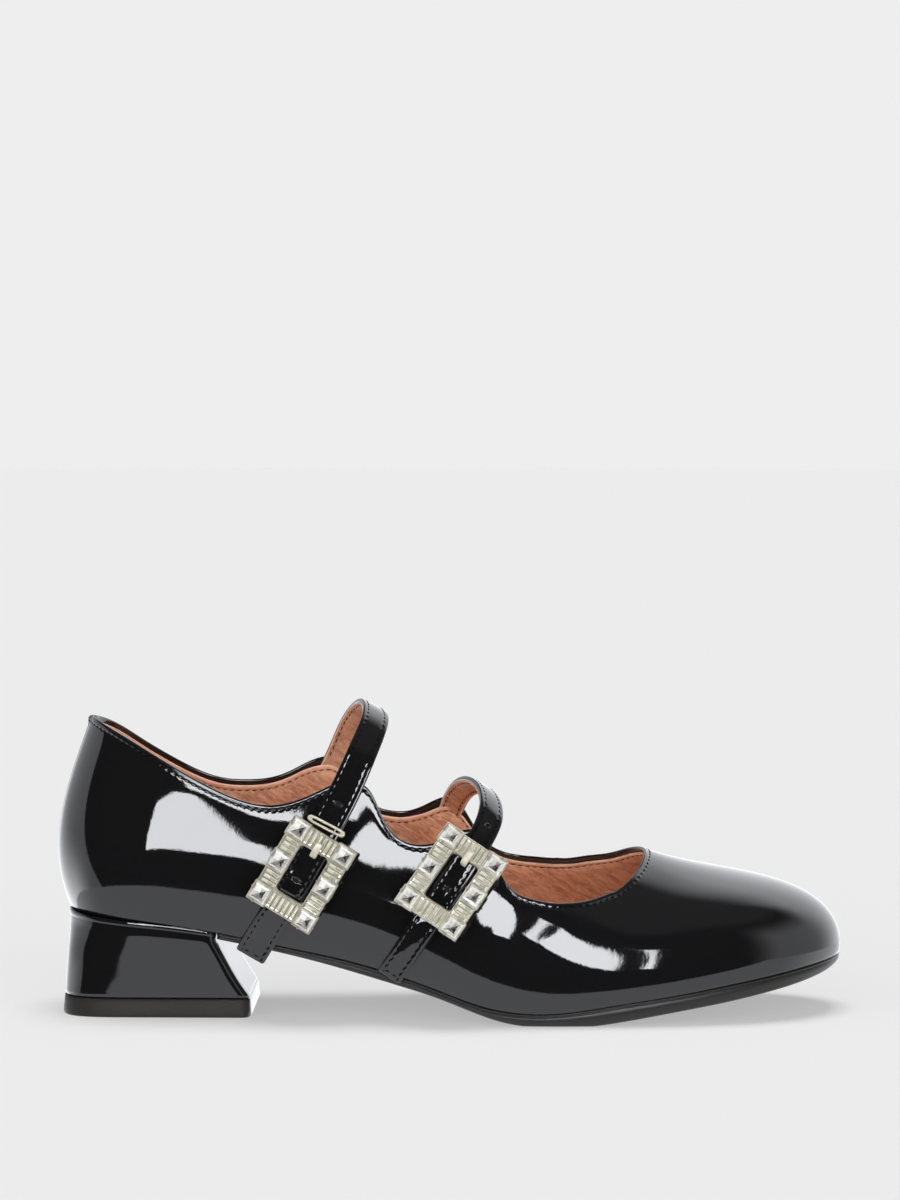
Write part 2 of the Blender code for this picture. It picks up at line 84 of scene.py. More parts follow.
# %% Wrap a socket
class Wire:
    """A number that varies over a surface; arithmetic on it adds Math nodes."""

    def __init__(self, nodes, socket):
        self.nodes = nodes
        self.socket = socket

    def math(self, operation, *others, swapped=False):
        terms = [self, *others]
        if swapped:
            terms.reverse()
        return self.nodes.add("ShaderNodeMath", {"operation": operation}, dict(enumerate(terms)))

    def __add__(self, other):
        return self.math("ADD", other)

    def __radd__(self, other):
        return self.math("ADD", other)

    def __sub__(self, other):
        return self.math("SUBTRACT", other)

    def __rsub__(self, other):
        return self.math("SUBTRACT", other, swapped=True)

    def __mul__(self, other):
        return self.math("MULTIPLY", other)

    def __rmul__(self, other):
        return self.math("MULTIPLY", other)

    def between(self, low, high, start=0.0, end=1.0):
        """Start below low, end above high, and a smooth step from one to the other."""
        settings = {"interpolation_type": "SMOOTHSTEP"}
        return self.nodes.add("ShaderNodeMapRange", settings,
                              {"Value": self, "From Min": low, "From Max": high,
                               "To Min": start, "To Max": end})

    def fade(self, low, high):
        """1 below low, 0 above high, and a smooth step down from one to the other."""
        return self.between(low, high, 1.0, 0.0)


print("a socket can be added, taken away and multiplied")

# %% Wrap a node tree
class Nodes:
    """The node tree of one finish."""

    def __init__(self, tree):
        self.tree = tree

    def add(self, kind, settings=None, inputs=None, output=0):
        node = self.tree.nodes.new(kind)
        for name, value in (settings or {}).items():
            setattr(node, name, value)
        for name, value in (inputs or {}).items():
            self.plug(node.inputs[name], value)
        return Wire(self, node.outputs[output]) if len(node.outputs) else node

    def plug(self, socket, value):
        if isinstance(value, Wire):
            self.tree.links.new(value.socket, socket)
        else:
            socket.default_value = value

    def split(self, vector):
        """The x, y and z of a vector, as three numbers."""
        parts = self.add("ShaderNodeSeparateXYZ", None, {0: vector}).socket.node.outputs
        return [Wire(self, part) for part in parts]

    def blend(self, share, first, second):
        """A colour between two colours."""
        return self.add("ShaderNodeMix", {"data_type": "RGBA"},
                        {0: share, 6: self.opaque(first), 7: self.opaque(second)}, output=2)

    def opaque(self, colour):
        return colour if isinstance(colour, Wire) else (*colour, 1.0)

    def place(self, stretch=(1, 1, 1), turn=(0, 0, 0)):
        """Object coordinates in millimetres, turned and then stretched."""
        where = self.add("ShaderNodeTexCoord", output=3)
        size = tuple(MM * value for value in stretch)
        return self.add("ShaderNodeMapping", {"vector_type": "TEXTURE"},
                        {"Vector": where, "Rotation": turn, "Scale": size})

    def noise(self, size, detail=2.0, roughness=0.5, stretch=(1, 1, 1), turn=(0, 0, 0), twist=0.0):
        """Cloudy noise whose lumps are about size millimetres across."""
        return self.add("ShaderNodeTexNoise", {"noise_dimensions": "3D"},
                        {"Vector": self.place(stretch, turn), "Scale": 1 / size, "Detail": detail,
                         "Roughness": roughness, "Distortion": twist})

    def bump(self, height, depth, strength=1.0, under=None):
        """A raised pattern; depth is in millimetres for a height of 1."""
        inputs = {"Height": height, "Distance": depth * MM, "Strength": strength}
        if under is not None:
            inputs["Normal"] = under
        return self.add("ShaderNodeBump", None, inputs)


def new_finish(name, base=None, **values):
    """A Principled material; values are its sockets by name, with _ for a space."""
    made = bpy.data.materials.new(name)
    made.use_nodes = True
    nodes = Nodes(made.node_tree)
    shader = made.node_tree.nodes["Principled BSDF"]
    if base is not None:
        shader.inputs["Base Color"].default_value = (*base, 1.0)
    for socket, value in values.items():
        shader.inputs[socket.replace("_", " ")].default_value = value
    return made, nodes, shader


print("node helpers ready")

# %% [markdown]
# ## Studio
# Patent leather is black and shows little but what it mirrors, so the studio is most of its
# look. The world is a dome with three faces. The camera sees one plain pale tone. Matt
# surfaces are lit by a soft dome that is strongest low down in front, which gives the light
# inside the shoe. The gloss mirrors a studio that is drawn by direction: a pale floor, a dark
# room on the camera's side, pale walls beside and behind, and three soft boxes with dark gaps
# between them. Drawing it by direction costs nothing and keeps every edge where it is put.

# %% Tones and edges of the studio
# how bright each thing is, as a linear tone
FLOOR_TONE = 0.855          # the pale grey of floor and backdrop
BOX_TONE = 10.6             # the soft boxes
LEFT_WALL = 0.70            # the walls on either side
RIGHT_WALL = 0.67
LOW_LEFT = 2.4              # added low down on the far left, where the lamps spill on the wall
BACK_WALL = 0.95            # added behind the toe
ROOM_TONE = 0.004           # the dark room on the camera's side
CEILING_TONE = 0.09
CORNER_TONE = 0.6           # added to the floor far out on both sides
DOME_TOP = 0.12             # the matt light straight above
DOME_LOW = 3.9              # and what is added to it low down in front
GLOSS_TINT = (0.95, 0.965, 1.0, 1.0)    # what the gloss mirrors is a little cool

# where each thing lies: a pair of degrees, round from the camera's side or up from the
# horizon, between which it comes in or goes out
LEFT_EDGE = (-78.5, -75.5)
LEFT_TOP = (24.0, 40.0)
LOW_LEFT_ROUND = (-110.0, -66.0)
LOW_LEFT_RISE = (-26.0, 4.0)
RIGHT_EDGE = (38.0, 64.0)
RIGHT_TOP = (26.0, 52.0)
BEHIND_TOE = (98.0, 140.0)
BEHIND_RAISED = 18.0        # the right wall is this much taller behind the toe
CEILING_FROM = (48.0, 62.0)
CORNERS_ROUND = (60.0, 110.0)
CORNERS_RISE = (-50.0, -18.0)
FLOOR_NEAR = -22.3          # the floor's edge on the camera's side, as far round as FLOOR_TURN
FLOOR_TURN = 14.0
FLOOR_SLOPE = 0.45          # past there it rises by this for every degree round
FLOOR_FAR = -6.0            # but no higher than this
FLOOR_SOFT = 0.5            # half the width of its edge
EDGE_SOFT = 0.25            # half the width of a soft box's edge

SoftBox = namedtuple("SoftBox", "left lean_left right lean_right low dip high")
SOFT_BOXES = [
    # left and right are degrees round from the camera's side at the horizon, and each lean moves that
    # edge with every degree of rise; dip slopes the lower edge from the left corner on
    SoftBox(-10.0, 0.17, -8.6, 0.50, 10.6, 0.0, 36.0),
    SoftBox(-7.9, 0.68, 13.0, 0.10, 24.0, -2.0, 40.5),
    SoftBox(16.1, 0.075, 17.6, 0.045, 0.6, 0.0, 28.0),
]
print("soft boxes:", len(SOFT_BOXES))

# %% [markdown]
# Every direction has two angles: how far round it is from the camera's side, and how far up.
# Each thing in the studio is a product of soft steps in those two, and the sum of all the
# things is how strongly the dome shines there.

# %% Draw what the gloss mirrors
def box_share(box, round_deg, rise_deg):
    """1 inside a soft box and 0 outside it."""
    past_left = round_deg - rise_deg * box.lean_left - box.left
    past_right = round_deg - rise_deg * box.lean_right - box.right
    above = rise_deg - round_deg * box.dip - box.low
    share = rise_deg.fade(box.high - EDGE_SOFT, box.high + EDGE_SOFT)
    for wire, start, end in ((past_left, 0.0, 1.0), (past_right, 1.0, 0.0), (above, 0.0, 1.0)):
        share = share * wire.between(-EDGE_SOFT, EDGE_SOFT, start, end)
    return share


def side_walls(round_deg, rise_deg):
    """The pale walls beside and behind the shoe; they fade towards the dark ceiling."""
    low_left = rise_deg.fade(*LOW_LEFT_RISE) * round_deg.fade(*LOW_LEFT_ROUND)
    left = (round_deg + rise_deg).fade(*LEFT_EDGE) * rise_deg.fade(*LEFT_TOP)
    left = left * (LEFT_WALL + low_left * LOW_LEFT)
    behind = round_deg.between(*BEHIND_TOE)
    top = (rise_deg - behind * BEHIND_RAISED).fade(*RIGHT_TOP)
    right = round_deg.between(*RIGHT_EDGE) * (RIGHT_WALL + behind * BACK_WALL) * top
    return left + right


def studio_tone(nodes):
    """How bright the studio is in each direction."""
    x, y, z = nodes.split(nodes.add("ShaderNodeTexCoord"))
    round_deg = x.math("ARCTAN2", y * -1.0) * math.degrees(1.0)
    rise_deg = z.math("ARCSINE") * math.degrees(1.0)
    tone = side_walls(round_deg, rise_deg)
    tone = tone + rise_deg.between(*CEILING_FROM, ROOM_TONE, CEILING_TONE)
    for box in SOFT_BOXES:
        tone = tone + box_share(box, round_deg, rise_deg) * BOX_TONE
    floor_edge = (round_deg - FLOOR_TURN).math("MAXIMUM", 0.0) * FLOOR_SLOPE + FLOOR_NEAR
    floor = (rise_deg - floor_edge.math("MINIMUM", FLOOR_FAR)).fade(-FLOOR_SOFT, FLOOR_SOFT)
    corners = round_deg.math("ABSOLUTE").between(*CORNERS_ROUND) * rise_deg.between(*CORNERS_RISE)
    return tone * (1 - floor) + floor * (FLOOR_TONE + corners * CORNER_TONE)


def dome_tone(nodes):
    """The light that reaches matt surfaces: weak overhead, strong low down on the camera's side."""
    _, y, z = nodes.split(nodes.add("ShaderNodeTexCoord"))
    low = (1 - z.math("MAXIMUM", 0.0)) * (0.5 - y * 0.5)
    return DOME_TOP + low * low * DOME_LOW


def make_world():
    """One background for each kind of ray: seen by the camera, mirrored, or lighting matt surfaces."""
    world = bpy.data.worlds.new("studio")
    world.use_nodes = True
    world.node_tree.nodes.clear()
    nodes = Nodes(world.node_tree)
    even = nodes.add("ShaderNodeBackground", None, {"Color": (1, 1, 1, 1), "Strength": dome_tone(nodes)})
    seen = nodes.add("ShaderNodeBackground", None, {"Color": (1, 1, 1, 1), "Strength": FLOOR_TONE})
    mirrored = nodes.add("ShaderNodeBackground", None,
                         {"Color": GLOSS_TINT, "Strength": studio_tone(nodes)})
    ray = nodes.add("ShaderNodeLightPath")
    outputs = ray.socket.node.outputs
    by_camera = Wire(nodes, outputs["Is Camera Ray"])
    by_gloss = Wire(nodes, outputs["Is Glossy Ray"])
    lit = nodes.add("ShaderNodeMixShader", None, {0: by_gloss, 1: even, 2: mirrored})
    shown = nodes.add("ShaderNodeMixShader", None, {0: by_camera, 1: lit, 2: seen})
    nodes.add("ShaderNodeOutputWorld", None, {"Surface": shown})
    bpy.context.scene.world = world


make_world()
print("nodes in the studio:", len(bpy.context.scene.world.node_tree.nodes))

# %% [markdown]
# A wide sun stands for the overhead bank of lamps. It reaches the whole floor evenly, so the
# floor keeps one tone up to the soft shadow under the shoe. Part of the floor's tone is a glow
# of its own, painted light that keeps the shadow pale. Two small lamps stand near the heel
# and are seen only in the gloss. They are near, not part of the dome, because the long patch
# they make on the quarter ends at an upright edge that a far light can't draw on so flat a
# side.

# %% Add the overhead light and the floor
SUN_STRENGTH = 1.95
SUN_WIDTH = 32.0            # degrees across; a wide sun has a soft shadow
SUN_AIM = (0.0, -0.12, -1.0)
FLOOR_HALF = 6000.0
FLOOR_GLOW = 0.46           # this share of the floor's tone is a glow of its own, painted light that keeps the shadow pale


def make_sun():
    """The overhead light, which the gloss doesn't show."""
    lamp = bpy.data.lights.new("overhead", "SUN")
    lamp.energy = SUN_STRENGTH
    lamp.angle = math.radians(SUN_WIDTH)
    sun = bpy.data.objects.new("overhead", lamp)
    sun.rotation_euler = Vector(SUN_AIM).to_track_quat("-Z", "Y").to_euler()
    sun.visible_glossy = False
    bpy.context.scene.collection.objects.link(sun)


LAMP_SHARE = 0.94           # of a soft box's brightness
LAMP_FRONT = -400.0         # how near the small lamps stand, towards the camera's side
LAMPS = [
    # left, right, low and high of each lamp's lit face, in mm
    (-108.0, -38.0, 23.0, 126.0),
    (-38.0, -27.0, 31.0, 74.0),
]


def make_lamps():
    """Two small flat lamps beside the heel; only the gloss shows them."""
    for letter, (left, right, low, high) in zip("ab", LAMPS):
        lamp = bpy.data.lights.new("lamp_face", "AREA")
        lamp.shape = "RECTANGLE"
        lamp.size, lamp.size_y = (right - left) * MM, (high - low) * MM
        lamp.energy = BOX_TONE * LAMP_SHARE * math.pi * lamp.size * lamp.size_y
        lamp.color = GLOSS_TINT[:3]
        face = bpy.data.objects.new("lamp_face_" + letter, lamp)
        face.location = Vector(((left + right) / 2, LAMP_FRONT, (low + high) / 2)) * MM
        face.rotation_euler = (math.radians(90.0), 0.0, 0.0)
        face.visible_camera = False
        face.visible_diffuse = False
        bpy.context.scene.collection.objects.link(face)


def make_floor():
    """The floor, which glows a little with painted light and reaches far past the frame."""
    built = bmesh.new()
    bmesh.ops.create_grid(built, x_segments=2, y_segments=2, size=FLOOR_HALF * MM)
    mesh = bpy.data.meshes.new("floor")
    built.to_mesh(mesh)
    built.free()
    floor = bpy.data.objects.new("floor", mesh)
    bpy.context.scene.collection.objects.link(floor)
    bounce = FLOOR_TONE * (1 - FLOOR_GLOW)
    paint, nodes, shader = new_finish("pale_floor", (bounce, bounce, bounce), Roughness=1.0,
                                      Specular_IOR_Level=0.0)
    shader.inputs["Emission Color"].default_value = (1.0, 1.0, 1.0, 1.0)
    shader.inputs["Emission Strength"].default_value = FLOOR_TONE * FLOOR_GLOW
    mesh.materials.append(paint)
    floor.visible_glossy = False


make_sun()
make_lamps()
make_floor()
print("floor tone:", FLOOR_TONE)

# %% [markdown]
# ## Lines of the last
# A shoe is lasted over a form, and that form is described by ribs: sections that run from
# the feather line at the sole up to the topline. A smooth closed curve through the ribs'
# columns gives every rib between them, so one function gives the whole face of the upper.

# %% Smooth curves
class Curve:
    """A cubic curve with smooth curvature through rows of values at rising knots."""

    def __init__(self, knots, values, closed=False):
        self.knots = np.asarray(knots, float)
        self.values = np.asarray(values, float)
        count = len(self.knots)
        step = np.diff(self.knots)
        slope = (np.diff(self.values, axis=0).T / step).T
        system = np.eye(count)
        jump = np.zeros_like(self.values)
        for i in range(1, count - 1):
            system[i, i - 1:i + 2] = step[i - 1], 2 * (step[i - 1] + step[i]), step[i]
            jump[i] = 6 * (slope[i] - slope[i - 1])
        if closed:
            system[0, -1] = -1
            system[-1, -2] = step[-1]
            system[-1, -1] = 2 * (step[-1] + step[0])
            system[-1, 1] = step[0]
            jump[-1] = 6 * (slope[0] - slope[-1])
        self.bend = np.linalg.solve(system, jump.reshape(count, -1)).reshape(self.values.shape)

    def __call__(self, at):
        at = np.clip(at, self.knots[0], self.knots[-1])
        i = np.clip(np.searchsorted(self.knots, at, side="right") - 1, 0, len(self.knots) - 2)
        step = self.knots[i + 1] - self.knots[i]
        far = (at - self.knots[i]) / step
        near = 1 - far
        bends = np.array([near ** 3 - near, far ** 3 - far]) * step ** 2 / 6
        near, far, low, high = (weight.reshape(weight.shape + (1,) * (self.values.ndim - 1))
                                for weight in (near, far, bends[0], bends[1]))
        straight = near * self.values[i] + far * self.values[i + 1]
        return straight + low * self.bend[i] + high * self.bend[i + 1]


def profile(*points):
    """A height, or a thickness, as a smooth function of x."""
    along, height = zip(*points)
    return Curve(along, height)


def lengths_along(points):
    """Running length along a row of points, in millimetres."""
    lengths = np.linalg.norm(np.diff(points, axis=0), axis=1)
    return np.concatenate([[0.0], np.cumsum(lengths)])


def chords(points):
    """Running length along a row of points, from 0 to 1."""
    run = lengths_along(points)
    return run / run[-1]


print("curves ready")

# %% Feather line, sole line and toplines
WALL = 1.8                  # patent and lining together
GAP = 0.3                   # between pieces that meet
SEAM_GAP = 0.10             # the dark line left under the upper's edge

# (x, z) of the feather line, where the upper meets what it stands on
feather = profile((-28.7, 33.0), (-15, 31.6), (5, 29.5), (18, 27.6), (38, 23.6), (54, 20.4), (70, 16.6),
                  (80, 13.6), (90, 10.3), (98, 7.5), (105, 5.5), (113, 4.3), (121, 3.9), (128, 4.2),
                  (135, 5.0), (143, 6.2), (153, 7.7), (167, 9.8), (180, 12.0), (193, 14.2), (204, 16.0),
                  (214, 17.4), (218.4, 17.9))

# (x, z) of the outsole's underside; below zero it is the tread, which is flat on the floor
tread_line = profile((18, 25.6), (37, 21.8), (45, 20.0), (58, 16.7), (70, 13.4), (79, 10.9), (90, 7.7),
                     (96, 5.6), (103, 3.1), (109, 1.3), (115, 0.2), (121, -0.3), (129, -0.4), (137, -0.1),
                     (144, 0.7), (154, 2.3), (167, 4.5), (180, 6.7), (193, 9.2), (204, 11.5), (214, 14.1),
                     (218.4, 15.6))

# (x, z) of the topline on the outer and on the inner side, with the two tabs that carry the straps
outer_topline = profile((-21.5, 94), (-15.3, 91.6), (-8, 88.2), (1.5, 83.0), (11.5, 77.3), (21, 72.5),
                        (30, 69.2), (37.5, 68.3), (46.5, 70.3), (54, 73.6), (60.5, 75.9), (65, 75.2),
                        (69.2, 71.8), (72, 65.6), (75.2, 60.4), (79, 57.5), (84, 56.4), (89, 57.0),
                        (94, 59.2), (99, 61.0), (103.5, 59.0), (107, 52.5), (112, 43.9), (118.5, 40.2),
                        (125, 38.8), (131, 38.6), (137.5, 39.2), (144, 40.9))
inner_topline = profile((-21.5, 94), (-15.3, 90.2), (-8, 84.7), (-0.5, 79.6), (7.5, 75.0), (17, 71.3),
                        (27, 70.5), (34, 71.2), (40.5, 73.5), (46.5, 76.6), (52, 78.2), (57, 76.4),
                        (62, 69.0), (67, 62.6), (73, 60.2), (78, 60.0), (84, 62.0), (89, 64.4), (93, 64.8),
                        (97, 61.2), (102, 52.6), (108.5, 47.0), (118.5, 45.1), (126, 44.8))
THROAT = {-1: 143.5, 1: 127.0}      # past this x, on each side, the ribs end on the topline
print("feather line at the ball:", round(float(feather(121.0)), 2), "mm up")

# %% [markdown]
# Each rib starts on the feather line with a swell outwards, which is the roundness of the
# side, and ends at its top point. Where `dome` is 1 the rib lies over the toe like an arch.

# %% Ribs
Rib = namedtuple("Rib", "foot_x foot_y top_x top_y top_z swell dome")
RIBS = [
    # the last's sections, each from the feather line to the top:
    #   foot x, foot y, top x, top y, top z, swell, dome
    Rib(-28.7, 0.0, -21.0, 0.0, 96.0, 6.2, 0.0),        # back seam
    Rib(-24.2, -15.6, -15.5, -13.0, 94.5, 5.6, 0.0),
    Rib(-12.0, -23.6, -3.0, -22.3, 91.5, 5.0, 0.0),     # heel seat, outer side
    Rib(8.0, -25.6, 14.0, -26.4, 87.0, 4.8, 0.0),
    Rib(32.0, -26.6, 37.0, -27.4, 82.0, 5.6, 0.0),
    Rib(58.0, -28.4, 60.0, -27.6, 77.5, 6.4, 0.0),      # waist
    Rib(84.0, -32.6, 82.0, -27.4, 71.0, 6.0, 0.1),
    Rib(106.0, -38.0, 102.0, -27.6, 63.5, 4.6, 0.2),
    Rib(124.0, -40.0, 119.0, -29.2, 53.0, 3.4, 0.3),    # ball
    Rib(142.0, -39.2, 134.0, -29.6, 44.0, 2.8, 0.42),
    Rib(161.0, -37.2, 144.0, -26.4, 40.9, 2.4, 0.6),
    Rib(180.0, -33.4, 149.8, -20.4, 43.8, 2.2, 0.8),
    Rib(198.0, -26.6, 153.2, -13.0, 46.9, 2.1, 0.92),
    Rib(212.0, -14.0, 155.0, -5.6, 49.6, 2.0, 0.98),
    Rib(218.0, 2.0, 155.4, 2.2, 51.0, 1.9, 1.0),        # toe
    Rib(215.6, 16.0, 154.0, 9.8, 51.0, 2.0, 0.98),
    Rib(205.0, 26.6, 150.2, 17.2, 49.7, 2.1, 0.9),
    Rib(188.0, 33.0, 144.2, 23.2, 47.3, 2.3, 0.76),
    Rib(167.0, 37.0, 136.4, 27.4, 45.8, 2.6, 0.56),
    Rib(147.0, 38.8, 127.4, 29.6, 45.0, 3.0, 0.4),
    Rib(130.0, 38.2, 117.0, 30.6, 49.6, 3.8, 0.3),      # ball, inner side
    Rib(112.0, 33.6, 105.0, 29.8, 58.5, 5.4, 0.2),
    Rib(92.0, 27.2, 90.0, 28.0, 70.0, 8.0, 0.1),
    Rib(68.0, 23.0, 68.0, 27.4, 78.0, 9.6, 0.0),        # arch
    Rib(44.0, 22.6, 46.0, 27.2, 83.5, 8.4, 0.0),
    Rib(18.0, 24.4, 22.0, 26.8, 87.0, 6.2, 0.0),
    Rib(-10.0, 24.0, -1.0, 23.0, 91.0, 5.0, 0.0),
    Rib(-24.0, 15.8, -15.2, 13.2, 94.4, 5.6, 0.0),
]
TOE_RIB = 14
HEEL_BACK = RIBS[0].foot_x
print("ribs:", len(RIBS))

# %% [markdown]
# A rib is one curve of five points: its foot, its top and three between. Those three are set by
# shares of the rib's reach and swell, so a rib needs no more than its row in the table, and a
# closed curve through the table's columns gives every section from one rib to the next.

# %% Face of the upper
# how far in, how far out and how high the middle points of a rib's curve lie
RIB_IN = (0.0, 0.1, 0.64)          # share of the way from foot to top
RIB_OUT = (1.1, 0.9, 0.4)           # share of the swell
WALL_RISE = (0.25, 0.5, 0.75)       # share of the height on a side wall
DOME_RISE = (0.3, 0.866, 0.694)     # and over the toe


def last_sections():
    """The ribs' columns as one closed curve round the shoe, and where the toe lies on it."""
    rows = np.array(RIBS + RIBS[:1], float)
    foot, top = rows[:, 0:2], rows[:, 2:4]
    around = (chords(foot) + chords(top)) / 2
    outline = Curve(around, foot, closed=True)
    ahead = outline((around + 1e-4) % 1.0) - outline((around - 1e-4) % 1.0)
    outward = np.stack([ahead[:, 1], -ahead[:, 0]], axis=1)
    outward /= np.linalg.norm(outward, axis=1)[:, None]
    swell = outward * rows[:, 5:6]
    columns = np.hstack([rows[:, 0:5], swell, rows[:, 6:7]])
    columns[-1] = columns[0]
    return Curve(around, columns, closed=True), around[TOE_RIB]


SECTIONS, TOE = last_sections()


def upper_face(around, up):
    """Points of the upper's outer face; both shares run from 0 to 1 and may be arrays."""
    around, up = np.broadcast_arrays(np.asarray(around, float), np.asarray(up, float))
    columns = np.moveaxis(SECTIONS(around % 1.0), -1, 0)
    foot_x, foot_y, top_x, top_y, top_z, swell_x, swell_y, dome = columns
    foot = np.stack([foot_x, foot_y, feather(foot_x)], axis=-1)
    reach = np.stack([top_x, top_y, top_z], axis=-1) - foot
    weights = [math.comb(4, k) * up ** k * (1 - up) ** (4 - k) for k in range(5)]
    point = foot + reach * weights[4][..., None]
    for k, (inward, out, wall, domed) in enumerate(zip(RIB_IN, RIB_OUT, WALL_RISE, DOME_RISE), start=1):
        rise = wall + (domed - wall) * dome
        offset = np.stack([reach[..., 0] * inward + swell_x * out,
                           reach[..., 1] * inward + swell_y * out,
                           reach[..., 2] * rise], axis=-1)
        point = point + offset * weights[k][..., None]
    return point


print("the toe lies", round(float(TOE), 3), "of the way round")

# %% [markdown]
# The topline cuts each rib at a share of its way up. Past the last tab the ribs already end
# on the throat, so nothing is cut there.

# %% Topline
LEAST_CUT = 0.4             # the topline never cuts a rib lower than this share of its way up
HALVINGS = 30               # each one halves what is left between a rib's two guesses
SMOOTHINGS = 2


def topline_shares(stations):
    """How far up its rib the upper is cut, at each station round the shoe."""
    tops = upper_face(stations, 1.0)
    side = np.where(tops[:, 1] < 0, -1, 1)

    def above(up):
        at = upper_face(stations, up)
        line = np.where(side < 0, outer_topline(at[:, 0]), inner_topline(at[:, 0]))
        return at[:, 2] - line

    low, high = np.full(len(stations), LEAST_CUT), np.ones(len(stations))
    for _ in range(HALVINGS):
        middle = (low + high) / 2
        over = above(middle) > 0
        high = np.where(over, middle, high)
        low = np.where(over, low, middle)
    limit = np.where(side < 0, THROAT[-1], THROAT[1])
    shares = np.where((above(1.0) <= 0) | (tops[:, 0] > limit), 1.0, high)
    for _ in range(SMOOTHINGS):
        shares = (np.roll(shares, 1) + 2 * shares + np.roll(shares, -1)) / 4
    return shares


print("share of the rib left at the waist:", round(float(topline_shares(np.array([0.2, 0.5, 0.8]))[0]), 2))

# %% [markdown]
# ## Mesh helpers
# Almost every piece here is a sheet: a grid whose corners are moved to where a function says.
# Sections that close on themselves put their last row on the first, and doubles are merged.

# %% Grids and pieces
WELD = 1e-6                 # metres


def sheet(corners, marks=None):
    """A grid of faces through an array of points in millimetres, one row of them after another.

    Marks, where given, are kept on the corners: the number of the stitch there and the
    distance from its row.
    """
    corners = np.asarray(corners, float)
    rows, columns = corners.shape[0] - 1, corners.shape[1] - 1
    grid = bmesh.new()
    bmesh.ops.create_grid(grid, x_segments=columns, y_segments=rows, size=0.5)
    layer = grid.verts.layers.float_vector.new("seam") if marks is not None else None
    for corner in grid.verts:
        column = round((corner.co.x + 0.5) * columns)
        row = round((corner.co.y + 0.5) * rows)
        corner.co = corners[row][column]
        if layer is not None:
            corner[layer] = (*marks[row][column], 0.0)
    bmesh.ops.remove_doubles(grid, verts=grid.verts, dist=WELD / MM)
    return grid


def join(built, other):
    """Adds another bmesh to this one and frees it."""
    held = bpy.data.meshes.new("held")
    other.to_mesh(held)
    other.free()
    built.from_mesh(held)
    bpy.data.meshes.remove(held)
    return built


def add_piece(name, built, finish, replaces=(), smooth=True, turn_out=True):
    """Makes a bmesh in millimetres a piece of the shoe, in metres."""
    bmesh.ops.scale(built, vec=(MM, MM, MM), verts=built.verts)
    bmesh.ops.remove_doubles(built, verts=built.verts, dist=WELD)
    if turn_out:
        bmesh.ops.recalc_face_normals(built, faces=built.faces)
    mesh = bpy.data.meshes.new(name)
    built.to_mesh(mesh)
    built.free()
    if smooth:
        mesh.shade_smooth()
    mesh.materials.append(finish)
    piece = bpy.data.objects.new(name, mesh)
    bpy.context.scene.collection.objects.link(piece)
    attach(piece, "root")
    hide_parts(*replaces)
    print(f"{name}: {len(mesh.polygons)} faces")
    return piece


def unit(vectors):
    return vectors / np.maximum(np.linalg.norm(vectors, axis=-1, keepdims=True), 1e-12)

# %% [markdown]
# ## Finishes
# The upper is patent leather: black under a clear film that mirrors sharply. A high index of
# refraction stands for the film. What gives it away as leather and not glass is a very fine
# unevenness, which frays the edge of every reflection, and a slow waviness from the lasting.

# %% Patent leather
DIMPLE_REACH = 1.05         # how far from its row a stitch still dents the patent


def stitch_wave(nodes):
    """Dimples along a stitch row: down where the thread goes in, up between. Read from the seam marks."""
    marks = nodes.add("ShaderNodeAttribute", {"attribute_name": "seam"}, output=1)
    number, aside, _ = nodes.split(marks)
    near = aside.math("ABSOLUTE").fade(0.0, DIMPLE_REACH)
    return (number * math.tau).math("COSINE") * near * -1.0


def make_patent():
    made, nodes, shader = new_finish("black_patent", (0.0075, 0.0072, 0.0078), IOR=1.72)
    slow = nodes.bump(nodes.noise(13.0, detail=1.0), 0.012)
    ripple = nodes.bump(nodes.noise(3.4, detail=2.0, roughness=0.45), 0.0085, under=slow)
    dimple = nodes.bump(stitch_wave(nodes), 0.03, under=ripple)
    peel = nodes.bump(nodes.noise(0.62, detail=2.0, roughness=0.6), 0.0030, under=dimple)
    nodes.plug(shader.inputs["Normal"], peel)
    dust = nodes.noise(1.6, detail=3.0, roughness=0.7).between(0.70, 0.80)
    nodes.plug(shader.inputs["Roughness"], 0.03 + dust * 0.03)
    return made


patent = make_patent()
print("made", patent.name)

# %% [markdown]
# The lining is a thin tan synthetic, matt, with fine wrinkles that run slantwise where the
# wall bends. The wrinkles' light and shade are also painted into its colour. Its folded edge
# is painted lighter, a painted highlight where the fold faces up and catches the light.

# %% Lining
def make_lining(name, tone, dark, wrinkle):
    made, nodes, shader = new_finish(name, Sheen_Weight=0.06)
    cloud = nodes.noise(7.0, detail=3.0)
    fine = nodes.noise(0.8, detail=3.0)
    slant = nodes.noise(1.5, detail=3.0, roughness=0.55, stretch=(3.4, 3.4, 1.0), turn=(0.0, 0.55, 0.0),
                        twist=0.7)
    # the base colour mixes the leather's own uneven tone (cloud, fine) with painted light and shade along
    # the slanted wrinkles (slant)
    shade = (cloud * 0.22 + fine * 0.22 + slant * 0.56).between(0.38, 0.60)
    nodes.plug(shader.inputs["Base Color"], nodes.blend(shade, dark, tone))
    grain = nodes.bump(nodes.noise(0.5, detail=3.0), 0.10)
    folds = nodes.bump(slant, wrinkle, under=grain)
    nodes.plug(shader.inputs["Normal"], folds)
    nodes.plug(shader.inputs["Roughness"], 0.45 + fine * 0.2)
    return made


lining = make_lining("tan_lining", (0.80, 0.425, 0.26), (0.52, 0.245, 0.145), 0.8)
sock_leather = make_lining("sock_leather", (0.78, 0.41, 0.25), (0.70, 0.352, 0.21), 0.25)
# painted shade: a darker copy of the same tan lining for the backs of the straps
shaded_strap_lining = make_lining("shaded_strap_lining", (0.60, 0.30, 0.18), (0.40, 0.18, 0.10), 0.6)
